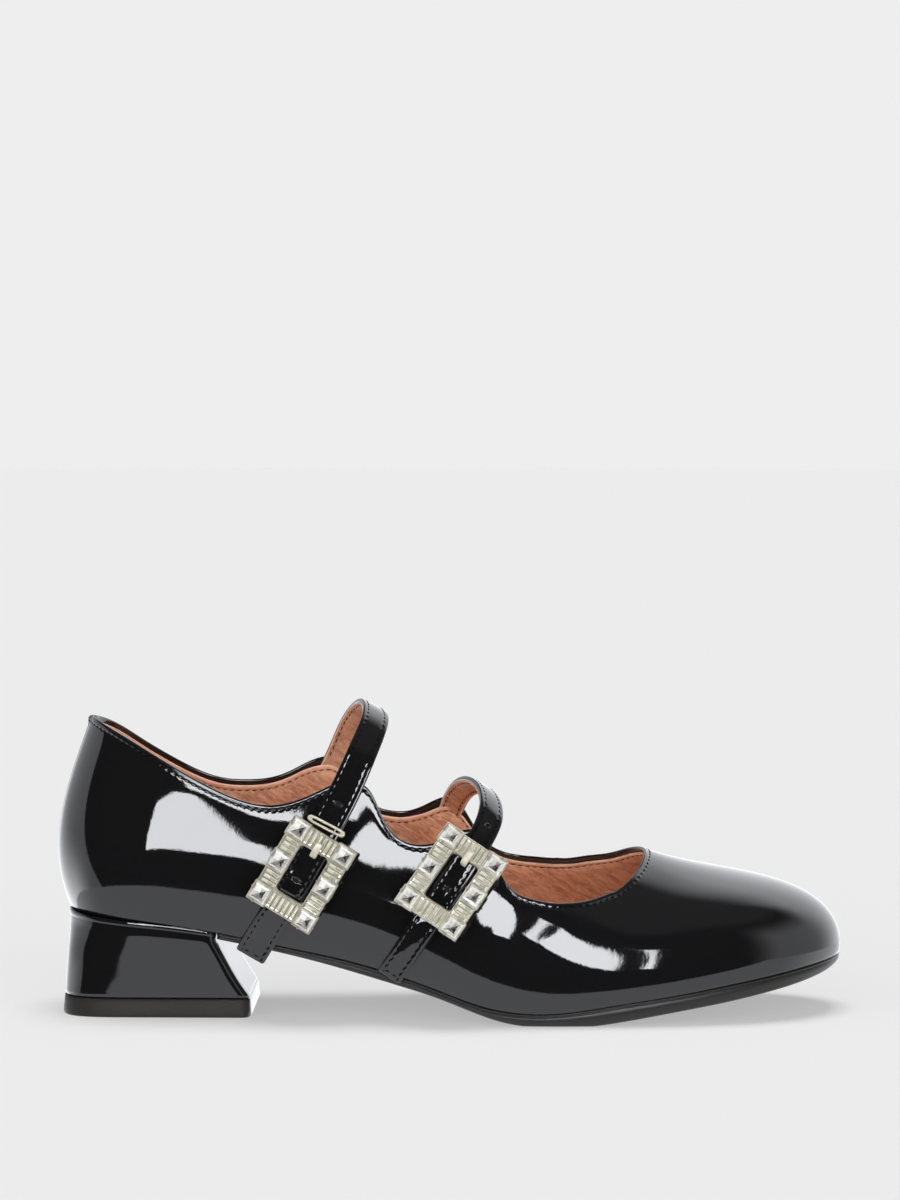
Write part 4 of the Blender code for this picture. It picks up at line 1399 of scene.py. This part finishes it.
# %% Where the straps lie
Strap = namedtuple("Strap", "name hang seated arch anchor lean widths buckle_height")
STRAPS = [
    # hang, seated and anchor are (x, z): the end below the sole's edge, what lies on the outer side and
    # what is sewn inside the inner side; arch is (x, y, z) over the instep; widths are theirs in turn
    Strap(name="rear", hang=[(30.4, 20.2)],
          seated=[(33.6, 25.6), (38.0, 33.0), (47.2, 47.6), (57.2, 66.0), (61.0, 73.4)],
          arch=[(66.4, -24.0, 86.0), (69.0, -13.6, 93.4), (67.4, 0.0, 95.9), (63.8, 12.6, 93.2),
                (60.6, 19.4, 88.2)],
          anchor=[(56.0, 77.6), (53.4, 72.4), (51.2, 67.6)],
          lean=29.5, widths=[10, 10, 10, 10, 10, 9.8, 9.2, 8.6, 8.2, 8.4, 8.6, 9, 9, 9], buckle_height=47.4),
    Strap(name="front", hang=[],
          seated=[(75.2, 15.8), (80.5, 24.0), (86.2, 32.6), (94.6, 44.8), (102.2, 56.2)],
          arch=[(105.2, -26.4, 62.2), (105.4, -15.8, 68.2), (101.6, -1.0, 70.8), (97.4, 10.6, 69.0),
                (94.6, 18.6, 65.2)],
          anchor=[(91.6, 58.6), (89.2, 53.0)],
          lean=32.0, widths=[8.2] * 12, buckle_height=44.5),
]


class Ribbon:
    """A strap's lining face: three smooth edges, from its cut end over the instep to its anchor."""

    def __init__(self, strap):
        self.name = strap.name
        lean = math.radians(strap.lean)
        across = np.array([math.cos(lean), 0.0, -math.sin(lean)])
        edges = []
        for side in (-0.5, 0.0, 0.5):
            widths = iter(strap.widths)
            line = []
            for x, z in strap.hang + strap.seated:
                shift = across * side * next(widths)
                line.append(on_outer_side(x + shift[0], z + shift[2], STRAP_SEAT))
            line += [np.array(point) + across * side * next(widths) for point in strap.arch]
            for x, z in strap.anchor:
                shift = across * side * next(widths)
                line.append(inside_inner_side(x + shift[0], z + shift[2], GAP + STRAP_THICK))
            edges.append(line)
        self.curve = Curve(chords(edges[1]), np.moveaxis(np.array(edges), 0, 1))

    def frame_at(self, height):
        """Middle, across, along and outward directions where the outer side passes a height."""
        shares = np.linspace(0.0, OUTER_SHARE, 2001)
        share = shares[np.argmin(abs(self.curve(shares)[:, 1, 2] - height))]
        back, middle, front = self.curve(share)
        ahead = self.curve(share + 0.01)[1] - self.curve(share - 0.01)[1]
        along = Vector(ahead).normalized()
        across = Vector(front - back)
        outward = across.cross(along).normalized()
        across = along.cross(outward).normalized()
        return Vector(middle), across, along, outward


ribbons = {strap.name: Ribbon(strap) for strap in STRAPS}
for name, ribbon in ribbons.items():
    middle_line = ribbon.curve(np.linspace(0, 1, 400))[:, 1]
    print(name, "strap is", round(float(lengths_along(middle_line)[-1])), "mm long")

# %% [markdown]
# A strap under load doesn't lie flat from end to end: its prong pulls it off the upper, the cut
# end tucks back in, and it turns a little on itself where it spans free. The solid strap is
# plain, so both are small lifts that are laid over its run here.

# %% How a strap lies
END_RADIUS = 0.5            # of the cut end's corners
Sway = namedtuple("Sway", "start stop twist")
SWAYS = {
    # a strap turns a little on itself where it spans free: mm along it, and outward mm per mm aside
    "rear": [Sway(42.0, 98.0, 0.26)],
    "front": [Sway(27.0, 45.0, 0.07), Sway(46.0, 64.0, 0.12)],
}
LIES = {
    # mm along a strap from its cut end, and how far it stands off there: it is pulled up to its prong
    "rear": [(-11.0, -5.0), (4.0, -0.75), (9.0, 0.0), (23.0, 0.0), (33.5, 0.75), (43.2, 2.4), (46.0, 0.5),
             (49.0, 0.0)],
    "front": [(-12.0, 1.8), (12.0, 0.0), (30.5, 0.0), (44.5, 1.5), (47.5, 0.4), (50.0, 0.0)],
}
STITCH_IN = 1.55            # stitch row from the strap's edge
SMOOTHING = np.linspace(-1.6, 1.6, 9)       # its lie is an average over these distances along it


class Band:
    """Stations along a strap, with the place of any point across and out of it."""

    def __init__(self, ribbon, count=300, start=0.0, stop=1.0):
        self.name = ribbon.name
        self.shares = np.linspace(start, stop, count)
        rows = ribbon.curve(self.shares)
        self.back, self.middle, self.front = rows[:, 0], rows[:, 1], rows[:, 2]
        self.half = np.linalg.norm(self.front - self.back, axis=1) / 2
        self.across = unit(self.front - self.back)
        along = unit(np.gradient(self.middle, axis=0))
        self.outward = unit(np.cross(self.across, along))
        whole = np.linspace(0.0, 1.0, 801)
        self.run = np.interp(self.shares, whole, lengths_along(ribbon.curve(whole)[:, 1]))

    def lift(self, aside):
        """How far the strap stands off its plain lie: its twist and the pull of its prong."""
        out = 0.0 * aside
        for sway in SWAYS[self.name]:
            middle, reach = (sway.start + sway.stop) / 2, (sway.stop - sway.start) / 2
            out = out + sway.twist * aside * np.exp(-((self.run - middle) / reach) ** 4)
        along, off = zip(*LIES[self.name])
        return out + sum(np.interp(self.run + step, along, off) for step in SMOOTHING) / len(SMOOTHING)

    def narrowing(self):
        """How much of the half width is left at each station, rounding the cut end's corners."""
        near = np.minimum(self.run, END_RADIUS)
        return END_RADIUS - np.sqrt(np.maximum(END_RADIUS ** 2 - (END_RADIUS - near) ** 2, 0.0))

    def at(self, aside, out):
        """Points aside of the middle line (mm) and out from the strap's lining face (mm)."""
        aside, out = np.broadcast_arrays(np.asarray(aside, float), np.asarray(out, float))
        share = aside / self.half
        bow = self.middle - (self.back + self.front) / 2
        flat = (self.back + self.front) / 2 + self.across * aside[:, None]
        return flat + bow * (1 - share ** 2)[:, None] + self.outward * (out + self.lift(aside))[:, None]


print("free stretches that twist:", sum(len(sways) for sways in SWAYS.values()))

# %% [markdown]
# The strap's section has a rounded, turned edge, a shallow groove that holds the stitches and a
# slightly padded middle. Its cut end is square with small round corners. A closed loop at every
# station, joined as a sheet, keeps those small forms crisp where a bevelled box would not.

# %% Strap bodies
# half of the section, in mm in from the strap's edge and out from its lining face
STRAP_SECTION = [
    (2.6, 0.30), (0.60, 0.30), (0.18, 0.40), (0.0, 0.68), (0.0, 1.35), (0.05, 1.62), (0.20, 1.80),
    (0.45, 1.90), (0.95, 1.94), (1.32, 1.90), (1.55, 1.84), (1.78, 1.90), (2.15, 1.96), (2.8, 2.0),
]
STRAP_CROWN = 2.03          # its middle, out from the lining face
KEEPS_WIDTH = 2.6           # what lies this far in doesn't follow the cut end's round corners
FACE_FROM = 1.0             # rows further out than this are on the face that is stitched


def band_rows(band):
    """Closed loops round a strap: one side's table, then its mirror image."""
    narrow = band.narrowing()
    asides = [band.half - inset - narrow * (inset < KEEPS_WIDTH) for inset, _ in STRAP_SECTION]
    outs = [out for _, out in STRAP_SECTION]
    loops = [band.at(aside, out) for aside, out in zip(asides, outs)]
    loops.append(band.at(0.0 * band.half, STRAP_CROWN))
    loops += [band.at(-aside, out) for aside, out in zip(asides[::-1], outs[::-1])]
    return np.stack(loops + loops[:1], axis=1)


def band_marks(band):
    """Seam marks for the same loops: the stitch's number and the distance from its row."""
    number = (band.run - STITCH_IN) / STITCH_PITCH
    offs = [inset - STITCH_IN if out > FACE_FROM else NO_SEAM for inset, out in STRAP_SECTION]
    offs = offs + [NO_SEAM] + offs[::-1] + offs[:1]
    return np.stack([np.column_stack([number, 0 * number + off]) for off in offs], axis=1)


def drawn_ends(rows):
    """Closed loops with one more at each end, drawn together in its middle, so that the ends close."""
    rows = np.asarray(rows)
    ends = [np.broadcast_to(row[:-1].mean(axis=0), row.shape) for row in (rows[0], rows[-1])]
    return np.concatenate([ends[0][None], rows, ends[1][None]])


def make_strap_body(strap, ribbon):
    band = Band(ribbon)
    marks = band_marks(band)
    built = sheet(drawn_ends(band_rows(band)), np.concatenate([marks[:1], marks, marks[-1:]]))
    return add_piece("strap_body_" + strap.name, built, patent, replaces=["strap_" + strap.name])


print("points in a strap's section:", 2 * len(STRAP_SECTION) + 1)

# %% [markdown]
# The back of a strap is the tan lining again, cut a little narrower, in a darker copy of its
# colour that is painted shade, with its folded edge painted light along both sides as a painted
# highlight. Its stitches are the outer rows seen from behind, in the brown thread.

# %% Strap backs and stitches
def add_rod(built, line, across, outward, radii, sides=10):
    """A round or oval rod along a line, with drawn-in ends."""
    turns = np.linspace(0.0, 2 * math.pi, sides + 1)
    section = np.column_stack([np.cos(turns) * radii[0], np.sin(turns) * radii[1]])
    rows = line[:, None] + across[:, None] * section[None, :, :1] + outward[:, None] * section[None, :, 1:]
    first = np.repeat(line[:1, None], sides + 1, axis=1)
    last = np.repeat(line[-1:, None], sides + 1, axis=1)
    return join(built, sheet(np.concatenate([first, rows, last])))


# the tan back: how far in from the strap's edge it ends, and its section, as the side of the
# middle (1, 0 or -1) and the distance out from the lining face
BACK_IN = 0.55
BACK_SECTION = [(1, 0.36), (1, 0.02), (0, -0.06), (-1, 0.02), (-1, 0.36), (0, 0.40)]
BACK_EDGE = (0.26, 0.24)    # half the width and height of its turned edge, which is painted light as a highlight
BACK_EDGE_OUT = 0.10


def make_strap_lining(strap, ribbon):
    """The tan back of a strap in a darker copy, painted shade, with its turned edge painted light along both
    sides as a highlight.
    """
    band = Band(ribbon, 220, 0.004, 0.995)
    edge = band.half - BACK_IN
    loops = [band.at(side * edge, out) for side, out in BACK_SECTION]
    rows = np.stack(loops + loops[:1], axis=1)
    add_piece("strap_lining_" + strap.name, sheet(drawn_ends(rows)), shaded_strap_lining)
    built = bmesh.new()
    for side in (-1, 1):
        line = band.at(side * edge, BACK_EDGE_OUT)
        add_rod(built, line, band.across, band.outward, BACK_EDGE, sides=8)
    add_piece("strap_edge_" + strap.name, built, lining_edge_highlight)


STITCHED_TO = 0.93          # share of the strap's length at which its rows end, inside the shoe
BACK_SEEN_FROM = 0.45       # the back's stitches are made from here on
ROW_OUT = 1.80              # stitches along the strap, out from its lining face
END_ROW_OUT = 1.96          # and across its cut end
BACK_ROW_OUT = -0.02        # and on its back


def make_strap_stitches(strap, ribbon):
    """Two rows along the strap and one short row across its cut end."""
    band = Band(ribbon, 500, 0.0, STITCHED_TO)
    built = bmesh.new()
    live = band.run > STITCH_IN
    for side in (-1, 1):
        line = band.at(side * (band.half - STITCH_IN), ROW_OUT)[live]
        add_stitches(built, line, band.outward[live], OUTER_STITCH)
    place = int(np.argmin(abs(band.run - STITCH_IN)))
    reach = np.linspace(-1, 1, 20) * (band.half[place] - STITCH_IN)
    line = np.array([band.at(np.full_like(band.run, aside), END_ROW_OUT)[place] for aside in reach])
    add_stitches(built, line, np.repeat(band.outward[place][None], len(line), axis=0), OUTER_STITCH)
    add_piece("strap_stitches_" + strap.name, built, black_thread, turn_out=False)
    built = bmesh.new()
    back = Band(ribbon, 300, BACK_SEEN_FROM, STITCHED_TO)
    for side in (-1, 1):
        line = back.at(side * (back.half - STITCH_IN), BACK_ROW_OUT)
        add_stitches(built, line, -back.outward, LINING_STITCH_SIZE)
    add_piece("strap_lining_stitches_" + strap.name, built, brown_thread, turn_out=False)


bodies = {}
for strap in STRAPS:
    ribbon = ribbons[strap.name]
    bodies[strap.name] = make_strap_body(strap, ribbon)
    make_strap_lining(strap, ribbon)
    make_strap_stitches(strap, ribbon)

# %% [markdown]
# ## Buckles
# A buckle is a cast frame with raised walls round its stones. Six square stones stand at the
# corners and the middles of the long sides, and narrow baguette stones fill the gaps between.

# %% Buckle seats
BUCKLE_LENGTH = 29.9
BUCKLE_WIDTH = 23.1
WINDOW_LENGTH = 16.1
WINDOW_WIDTH = 9.8
BUCKLE_SHIFT = {"rear": 0.7, "front": 0.0}              # mm across the strap


def seat_matrix(ribbon, height, shift):
    """Where a flat buckle rests on its strap: x across, y along the strap, z outwards."""
    middle, across, along, outward = ribbon.frame_at(height)
    under = ribbon.curve(np.linspace(0.0, UNDER_SHARE, 141)).reshape(-1, 3)
    offsets = [Vector(point) - middle for point in under]
    beneath = [step.dot(outward) for step in offsets if abs(step.dot(along)) < BUCKLE_LENGTH / 2]
    rest = max(beneath) + STRAP_THICK + GAP
    placed = Matrix((across, along, outward)).transposed().to_4x4()
    placed.translation = middle + outward * rest + across * shift
    return placed


seats = {strap.name: seat_matrix(ribbons[strap.name], strap.buckle_height, BUCKLE_SHIFT[strap.name])
         for strap in STRAPS}
print("buckles seated:", len(seats))

# %% [markdown]
# The adjusting holes are punched through the patent. A glossy face shows the edge of a real
# hole, which a painted dot lacks, so each one is cut, and a dark disc low in it is painted
# shade for the dark inside of the hole.

# %% Punch holes
HOLES = {"rear": (-2.6, 24.4), "front": (-2.4, 21.4)}   # mm along the strap from the buckle's middle
HOLE_RADIUS = 0.68
HOLE_MIDDLE = 1.9           # of its cutter, out from the strap's lining face
HOLE_DEPTH = 2.2            # of the same
HOLE_FLOOR = 1.45           # where its disc of painted shade lies


def facing_out(band, place, out):
    """A seat on a strap's middle line at a station, facing out of it."""
    seat = Vector(band.outward[place]).to_track_quat("Z", "Y").to_matrix().to_4x4()
    seat.translation = Vector(band.at(0.0 * band.half, out)[place])
    return seat


def punch(body, strap, ribbon):
    """Cuts the strap's round holes; the cutters go once the cut is made."""
    band = Band(ribbon, 600)
    rise = band.middle[band.shares < OUTER_SHARE, 2]
    start = band.run[int(np.argmin(abs(rise - strap.buckle_height)))]
    cutters = bmesh.new()
    places = [int(np.argmin(abs(band.run - start - reach))) for reach in HOLES[strap.name]]
    for place in places:
        seat = facing_out(band, place, HOLE_MIDDLE)
        seat.translation = seat.translation * MM
        bmesh.ops.create_cone(cutters, cap_ends=True, segments=20, radius1=HOLE_RADIUS * MM,
                              radius2=HOLE_RADIUS * MM, depth=HOLE_DEPTH * MM, matrix=seat)
    mesh = bpy.data.meshes.new("hole_cutters")
    cutters.to_mesh(mesh)
    cutters.free()
    cutter = bpy.data.objects.new("hole_cutters", mesh)
    bpy.context.scene.collection.objects.link(cutter)
    cut = body.modifiers.new("holes", "BOOLEAN")
    cut.object = cutter
    cut.solver = "EXACT"
    bpy.context.view_layer.update()
    whole = bpy.data.meshes.new_from_object(body.evaluated_get(bpy.context.evaluated_depsgraph_get()))
    body.modifiers.clear()
    body.data = whole
    bpy.data.objects.remove(cutter)
    bpy.data.meshes.remove(mesh)
    print("punched", body.name, len(whole.polygons), "faces")
    return band, places


def paint_hole_shade(name, band, places):
    """A dark disc low in each hole, painted shade for the hole's dark inside."""
    built = bmesh.new()
    for place in places:
        seat = facing_out(band, place, HOLE_FLOOR)
        bmesh.ops.create_circle(built, cap_ends=True, segments=20, radius=HOLE_RADIUS + 0.1, matrix=seat)
    add_piece("hole_floor_" + name, built, punched, turn_out=False)


for strap in STRAPS:
    paint_hole_shade(strap.name, *punch(bodies[strap.name], strap, ribbons[strap.name]))

# %% [markdown]
# The cast part of a buckle is a thin plate with a window. On it stand low walls, one round each
# square stone and one round each row of baguettes, with four small claws at every square. All
# the walls share one section, since only their bright tops show between the stones.

# %% Buckle frames
SQUARE = 6.5                # a square stone with its wall
SQUARE_X = BUCKLE_WIDTH / 2 - SQUARE / 2
SQUARE_Y = BUCKLE_LENGTH / 2 - SQUARE / 2
RIM = 0.30                  # thickness of the walls round the stones
RIM_TOP = 2.75
RIM_FOOT = 0.6
RIM_RADIUS = 0.25           # of a wall's corners
RIM_EASE = 0.08             # how far its top edges are eased
ROW_LOWER = 0.25            # the walls round the baguettes are this much lower
RECESS = 0.45               # the baguette rows stand back this far from the outer edge
SQUARES = [(x, y) for y in (-SQUARE_Y, 0.0, SQUARE_Y) for x in (-SQUARE_X, SQUARE_X)]
Row = namedtuple("Row", "x y width length count lengthwise")
SIDE_GAP = SQUARE_Y - SQUARE
END_GAP = 2 * SQUARE_X - SQUARE
ROWS = [Row(side * (SQUARE_X - RECESS / 2), end * SQUARE_Y / 2, SQUARE - RECESS, SIDE_GAP, 3, False)
        for side in (-1, 1) for end in (-1, 1)]
ROWS += [Row(0.0, end * (SQUARE_Y - RECESS / 2), END_GAP, SQUARE - RECESS, 6, True) for end in (-1, 1)]


def rounded_box(width, length, radius, height, steps=5):
    """A closed loop round a box with round corners, at a height."""
    loop = []
    for quarter in range(4):
        side = (1 if quarter in (0, 3) else -1, 1 if quarter in (0, 1) else -1)
        for turn in np.linspace(quarter, quarter + 1, steps) * math.pi / 2:
            loop.append((side[0] * (width / 2 - radius) + radius * math.cos(turn),
                         side[1] * (length / 2 - radius) + radius * math.sin(turn), height))
    return np.array(loop + loop[:1])


def stone_wall(x, y, outer, inner, high):
    """A rectangular wall round a stone: up its outside, over its top and down its inside."""
    ease, inner_radius = RIM_EASE, RIM_RADIUS - 0.1
    rows = [rounded_box(*outer, RIM_RADIUS, RIM_FOOT), rounded_box(*outer, RIM_RADIUS, high - ease),
            rounded_box(outer[0] - 2 * ease, outer[1] - 2 * ease, RIM_RADIUS, high),
            rounded_box(inner[0] + 2 * ease, inner[1] + 2 * ease, inner_radius, high),
            rounded_box(*inner, inner_radius, high - ease), rounded_box(*inner, inner_radius, RIM_FOOT)]
    ring = sheet(rows + rows[:1])
    bmesh.ops.translate(ring, vec=(x, y, 0.0), verts=ring.verts)
    return ring


OUTSIDE = (BUCKLE_WIDTH - 2 * RECESS, BUCKLE_LENGTH - 2 * RECESS)
WINDOW = (WINDOW_WIDTH, WINDOW_LENGTH)
PlateRow = namedtuple("PlateRow", "box grow radius height")
PLATE_ROWS = [
    # the plate's section: up its outside, over its top and down in the window; each row is one of
    # the two boxes, how much wider and longer it is there, its corner radius and its height
    PlateRow(OUTSIDE, 0.0, 0.8, 0.25),
    PlateRow(OUTSIDE, 0.0, 0.8, 1.5),
    PlateRow(OUTSIDE, -0.6, 0.6, 1.8),
    PlateRow(WINDOW, 1.0, 1.6, 1.8),
    PlateRow(WINDOW, 0.3, 1.4, 1.65),
    PlateRow(WINDOW, 0.0, 1.3, 1.3),
    PlateRow(WINDOW, 0.0, 1.3, 0.3),
    PlateRow(WINDOW, 0.5, 1.5, 0.0),
    PlateRow(OUTSIDE, -0.5, 0.8, 0.0),
]
CLAW_RADIUS = 0.40
CLAW_IN = 0.06              # from the square's outer edge
CLAW_ASIDE = 0.9            # from the middle of its side


def add_claws(built, x, y):
    """Four small claws round a square stone, one on each side."""
    reach = SQUARE / 2 - CLAW_IN
    for ahead, aside in ((1, 0), (-1, 0), (0, 1), (0, -1)):
        shift = CLAW_ASIDE * (1 if aside else -1)
        across, along = ahead * reach + aside * shift, aside * reach + ahead * shift
        claw = Matrix.Translation((x + across, y + along, RIM_TOP))
        bmesh.ops.create_uvsphere(built, u_segments=8, v_segments=6, radius=CLAW_RADIUS, matrix=claw)


def make_frame_metal(name, seat):
    built = bmesh.new()
    rows = [rounded_box(row.box[0] + row.grow, row.box[1] + row.grow, row.radius, row.height)
            for row in PLATE_ROWS]
    join(built, sheet(rows + rows[:1]))
    hollow = SQUARE - 2 * RIM
    for x, y in SQUARES:
        join(built, stone_wall(x, y, (SQUARE, SQUARE), (hollow, hollow), RIM_TOP))
    for row in ROWS:
        inner = (row.width - 2 * RIM * (not row.lengthwise), row.length - 2 * RIM * row.lengthwise)
        join(built, stone_wall(row.x, row.y, (row.width, row.length), inner, RIM_TOP - ROW_LOWER))
    for x, y in SQUARES:
        add_claws(built, x, y)
    bmesh.ops.transform(built, matrix=seat, verts=built.verts)
    return add_piece("frame_metal_" + name, built, setting_metal, replaces=["buckle_frame_" + name],
                     smooth=False)


print("stones in a buckle:", len(SQUARES) + sum(row.count for row in ROWS))

# %% [markdown]
# A cut stone is a few rings of corners, each inside the last: girdle, bevel, table and a sunk
# middle. The foil behind a real one throws light about, which would take many bounces to
# follow, so that light is painted: each facet keeps a tone of its own. No stone sits quite
# level, and its facets differ a little, so both get a small random share from one seed.

# %% Stones
random.seed(7)
TONE_SPREAD = 0.10          # how far a facet's tone may differ from the table
SQUARE_TILT = 2.5           # degrees that a stone may lean
BAGUETTE_TILT = 4.0


def cut_stone(built, steps, tones, x, y, tilt):
    """A cut stone from its steps: half width, half length and height, from the girdle inwards.

    Each step has eight corners, and tones holds a painted brightness for the eight facets of each band,
    which stands for the light that they throw.
    """
    rows = [[(0.0, 0.0, steps[0][2])] * 9]
    for half_x, half_y, height in steps:
        corners = [(-1, -1), (0, -1), (1, -1), (1, 0), (1, 1), (0, 1), (-1, 1), (-1, 0), (-1, -1)]
        rows.append([(half_x * side, half_y * end, height) for side, end in corners])
    stone = sheet(rows)
    layer = stone.faces.layers.float.new("painted_facet_light")
    for facet in stone.faces:
        middle = facet.calc_center_median()
        band = sum(1 for step in steps[1:] if max(abs(middle.x) / max(step[0], 0.01),
                                                  abs(middle.y) / max(step[1], 0.01)) < 1.0)
        turn = math.degrees(math.atan2(middle.y * steps[1][0], middle.x * steps[1][1])) % 360.0
        tone = tones[min(band, len(tones) - 1)][int(turn // 45.0) % 8]
        facet[layer] = tone + random.uniform(-TONE_SPREAD, TONE_SPREAD)
    lean = Matrix.Rotation(tilt[0], 4, "X") @ Matrix.Rotation(tilt[1], 4, "Y")
    lean.translation = Vector((x, y, 0.0))
    bmesh.ops.transform(stone, matrix=lean, verts=stone.verts)
    return join(built, stone)


def wobble(most):
    """Two small random leans, in radians, of at most so many degrees."""
    return [math.radians(random.uniform(-most, most)) for _ in range(2)]


SQUARE_STEPS = [
    # half width, half length and height
    (2.7, 2.7, 1.2), (2.90, 2.90, 2.45), (2.30, 2.30, 3.20), (2.0, 2.0, 3.30), (1.5, 1.5, 2.85),
    (0.0, 0.0, 2.20),
]
BAGUETTE_GAP = 0.08         # half the gap between two in a row
BAGUETTE_STEPS = [
    # in from the stone's long sides, in from its short ends, and height; the last is its ridge
    (0.0, 0.0, 1.2), (0.0, 0.0, 2.2), (0.26, 0.45, 2.78), (0.40, 0.75, 2.72), (math.inf, 1.35, 2.42),
]
SQUARE_TONES = [
    # painted light of each facet: right of the middle and then round by eighths, for each band from the
    # outside in
    (0.95, 0.55, 0.80, 0.90, 0.60, 0.95, 0.90, 0.70),
    (0.85, 0.70, 0.95, 0.55, 0.90, 0.60, 0.75, 0.95),
    (0.75, 0.95, 0.90, 0.70, 0.95, 0.85, 0.60, 0.80),
    (0.30, 0.75, 0.85, 0.95, 0.80, 0.35, 0.45, 0.20),
    (0.12, 0.55, 0.95, 0.98, 0.70, 0.30, 0.22, 0.10),
]
BAGUETTE_TONES = [
    (0.75, 0.60, 0.50, 0.80, 0.70, 0.45, 0.60, 0.70),
    (0.90, 0.70, 0.80, 0.45, 0.40, 0.75, 0.85, 0.90),
    (0.95, 0.85, 0.70, 0.60, 0.50, 0.90, 0.80, 0.95),
    (0.60, 0.80, 0.75, 0.95, 0.90, 0.65, 0.70, 0.55),
]


def make_stones(name, seat):
    squares, baguettes = bmesh.new(), bmesh.new()
    for built in (squares, baguettes):
        built.faces.layers.float.new("painted_facet_light")
    for x, y in SQUARES:
        cut_stone(squares, SQUARE_STEPS, SQUARE_TONES, x, y, wobble(SQUARE_TILT))
    for row in ROWS:
        pitch = (row.width if row.lengthwise else row.length) / row.count
        half = pitch / 2 - BAGUETTE_GAP
        reach = (row.length if row.lengthwise else row.width) / 2 - RIM
        steps = [(max(half - side, 0.0), reach - end, height) for side, end, height in BAGUETTE_STEPS]
        if not row.lengthwise:
            steps = [(step[1], step[0], step[2]) for step in steps]
        for place in range(row.count):
            shift = (place - (row.count - 1) / 2) * pitch
            x, y = (row.x + shift, row.y) if row.lengthwise else (row.x, row.y + shift)
            cut_stone(baguettes, steps, BAGUETTE_TONES, x, y, wobble(BAGUETTE_TILT))
    for built, title, finish in ((squares, "square_stones_", square_stone),
                                 (baguettes, "baguettes_", baguette_stone)):
        bmesh.ops.transform(built, matrix=seat, verts=built.verts)
        add_piece(title + name, built, finish, smooth=False)


for name, seat in seats.items():
    make_frame_metal(name, seat)
    make_stones(name, seat)

# %% [markdown]
# The prong is a short flat bar of pale gold. It comes up out of the strap inside the window,
# rises at the window's edge and lies over the top bar. The keeper is a flattened loop of the
# same wire that the strap slides through.

# %% Prongs and keeper
PRONG = [
    #  y from the window's top edge, then height of its middle and half width
    (-1.9, 1.1, 0.70), (-1.75, 1.9, 0.95), (-1.45, 2.6, 1.08), (-0.9, 3.05, 1.10), (0.0, 3.35, 1.10),
    (0.9, 3.5, 1.10), (2.0, 3.55, 1.10), (2.9, 3.5, 1.08), (3.3, 3.35, 1.0), (3.45, 3.0, 0.85),
]
PRONG_THICK = 0.9
PRONG_RADIUS = 0.3          # of its long edges
KEEPER_ABOVE = 14.4         # how much higher than the buckle's middle it sits
KEEPER_OVER = STRAP_THICK + 0.75            # its top wire, out from the strap's lining face
KEEPER_HALF = 6.1           # half its loop across the strap, and along the strap
KEEPER_DEEP = 0.78
KEEPER_WIRE = (0.42, 0.45)  # half the wire's width and height
LEG_WIRE = (1.1, 0.45)      # and where it goes down beside the strap
KEEPER_LEG = [
    # out from the strap's middle, and out from its lining face
    (5.2, KEEPER_OVER), (5.75, KEEPER_OVER - 0.5), (5.85, 1.2), (5.7, 0.3),
]


def make_prong(name, seat):
    rows = []
    for y, height, half in PRONG:
        loop = rounded_box(2 * half, PRONG_THICK, PRONG_RADIUS, 0.0, steps=4)
        rows.append([(x, WINDOW_LENGTH / 2 + y, height + z) for x, z, _ in loop])
    built = sheet(drawn_ends(rows))
    bmesh.ops.transform(built, matrix=seat, verts=built.verts)
    return add_piece("prong_bar_" + name, built, pale_gold, replaces=["buckle_prong_" + name])


def make_keeper(strap, ribbon):
    middle, across, along, outward = ribbon.frame_at(strap.buckle_height + KEEPER_ABOVE)
    placed = Matrix((across, along, outward)).transposed().to_4x4()
    placed.translation = middle
    turns = np.linspace(0.0, 2 * math.pi, 49)
    cosine, sine = np.cos(turns), np.sin(turns)
    loop = np.column_stack([KEEPER_HALF * np.sign(cosine) * abs(cosine) ** 0.35,
                            KEEPER_DEEP * np.sign(sine) * abs(sine) ** 0.7, 0 * turns + KEEPER_OVER])
    ahead = unit(np.gradient(loop, axis=0))
    ahead[0] = ahead[-1] = (0.0, 1.0, 0.0)
    lift = np.broadcast_to([0.0, 0.0, 1.0], loop.shape)
    aside = np.cross(lift, ahead)
    around = np.linspace(0.0, 2 * math.pi, 11)
    wide = aside[:, None] * (np.cos(around) * KEEPER_WIRE[0])[:, None]
    tall = lift[:, None] * (np.sin(around) * KEEPER_WIRE[1])[:, None]
    built = sheet(loop[:, None] + wide + tall)
    for side in (-1, 1):
        leg = np.array([(side * reach, 0.0, rise) for reach, rise in KEEPER_LEG])
        flat = np.broadcast_to([0.0, 1.0, 0.0], leg.shape)
        out = np.broadcast_to([float(side), 0.0, 0.0], leg.shape)
        add_rod(built, leg, flat, out, LEG_WIRE)
    bmesh.ops.transform(built, matrix=placed, verts=built.verts)
    return add_piece("keeper_loop", built, pale_gold, replaces=["strap_keeper_" + strap.name])


for name, seat in seats.items():
    make_prong(name, seat)
make_keeper(STRAPS[0], ribbons["rear"])

# %% [markdown]
# ## Finish

# %% Finish
bpy.context.view_layer.update()
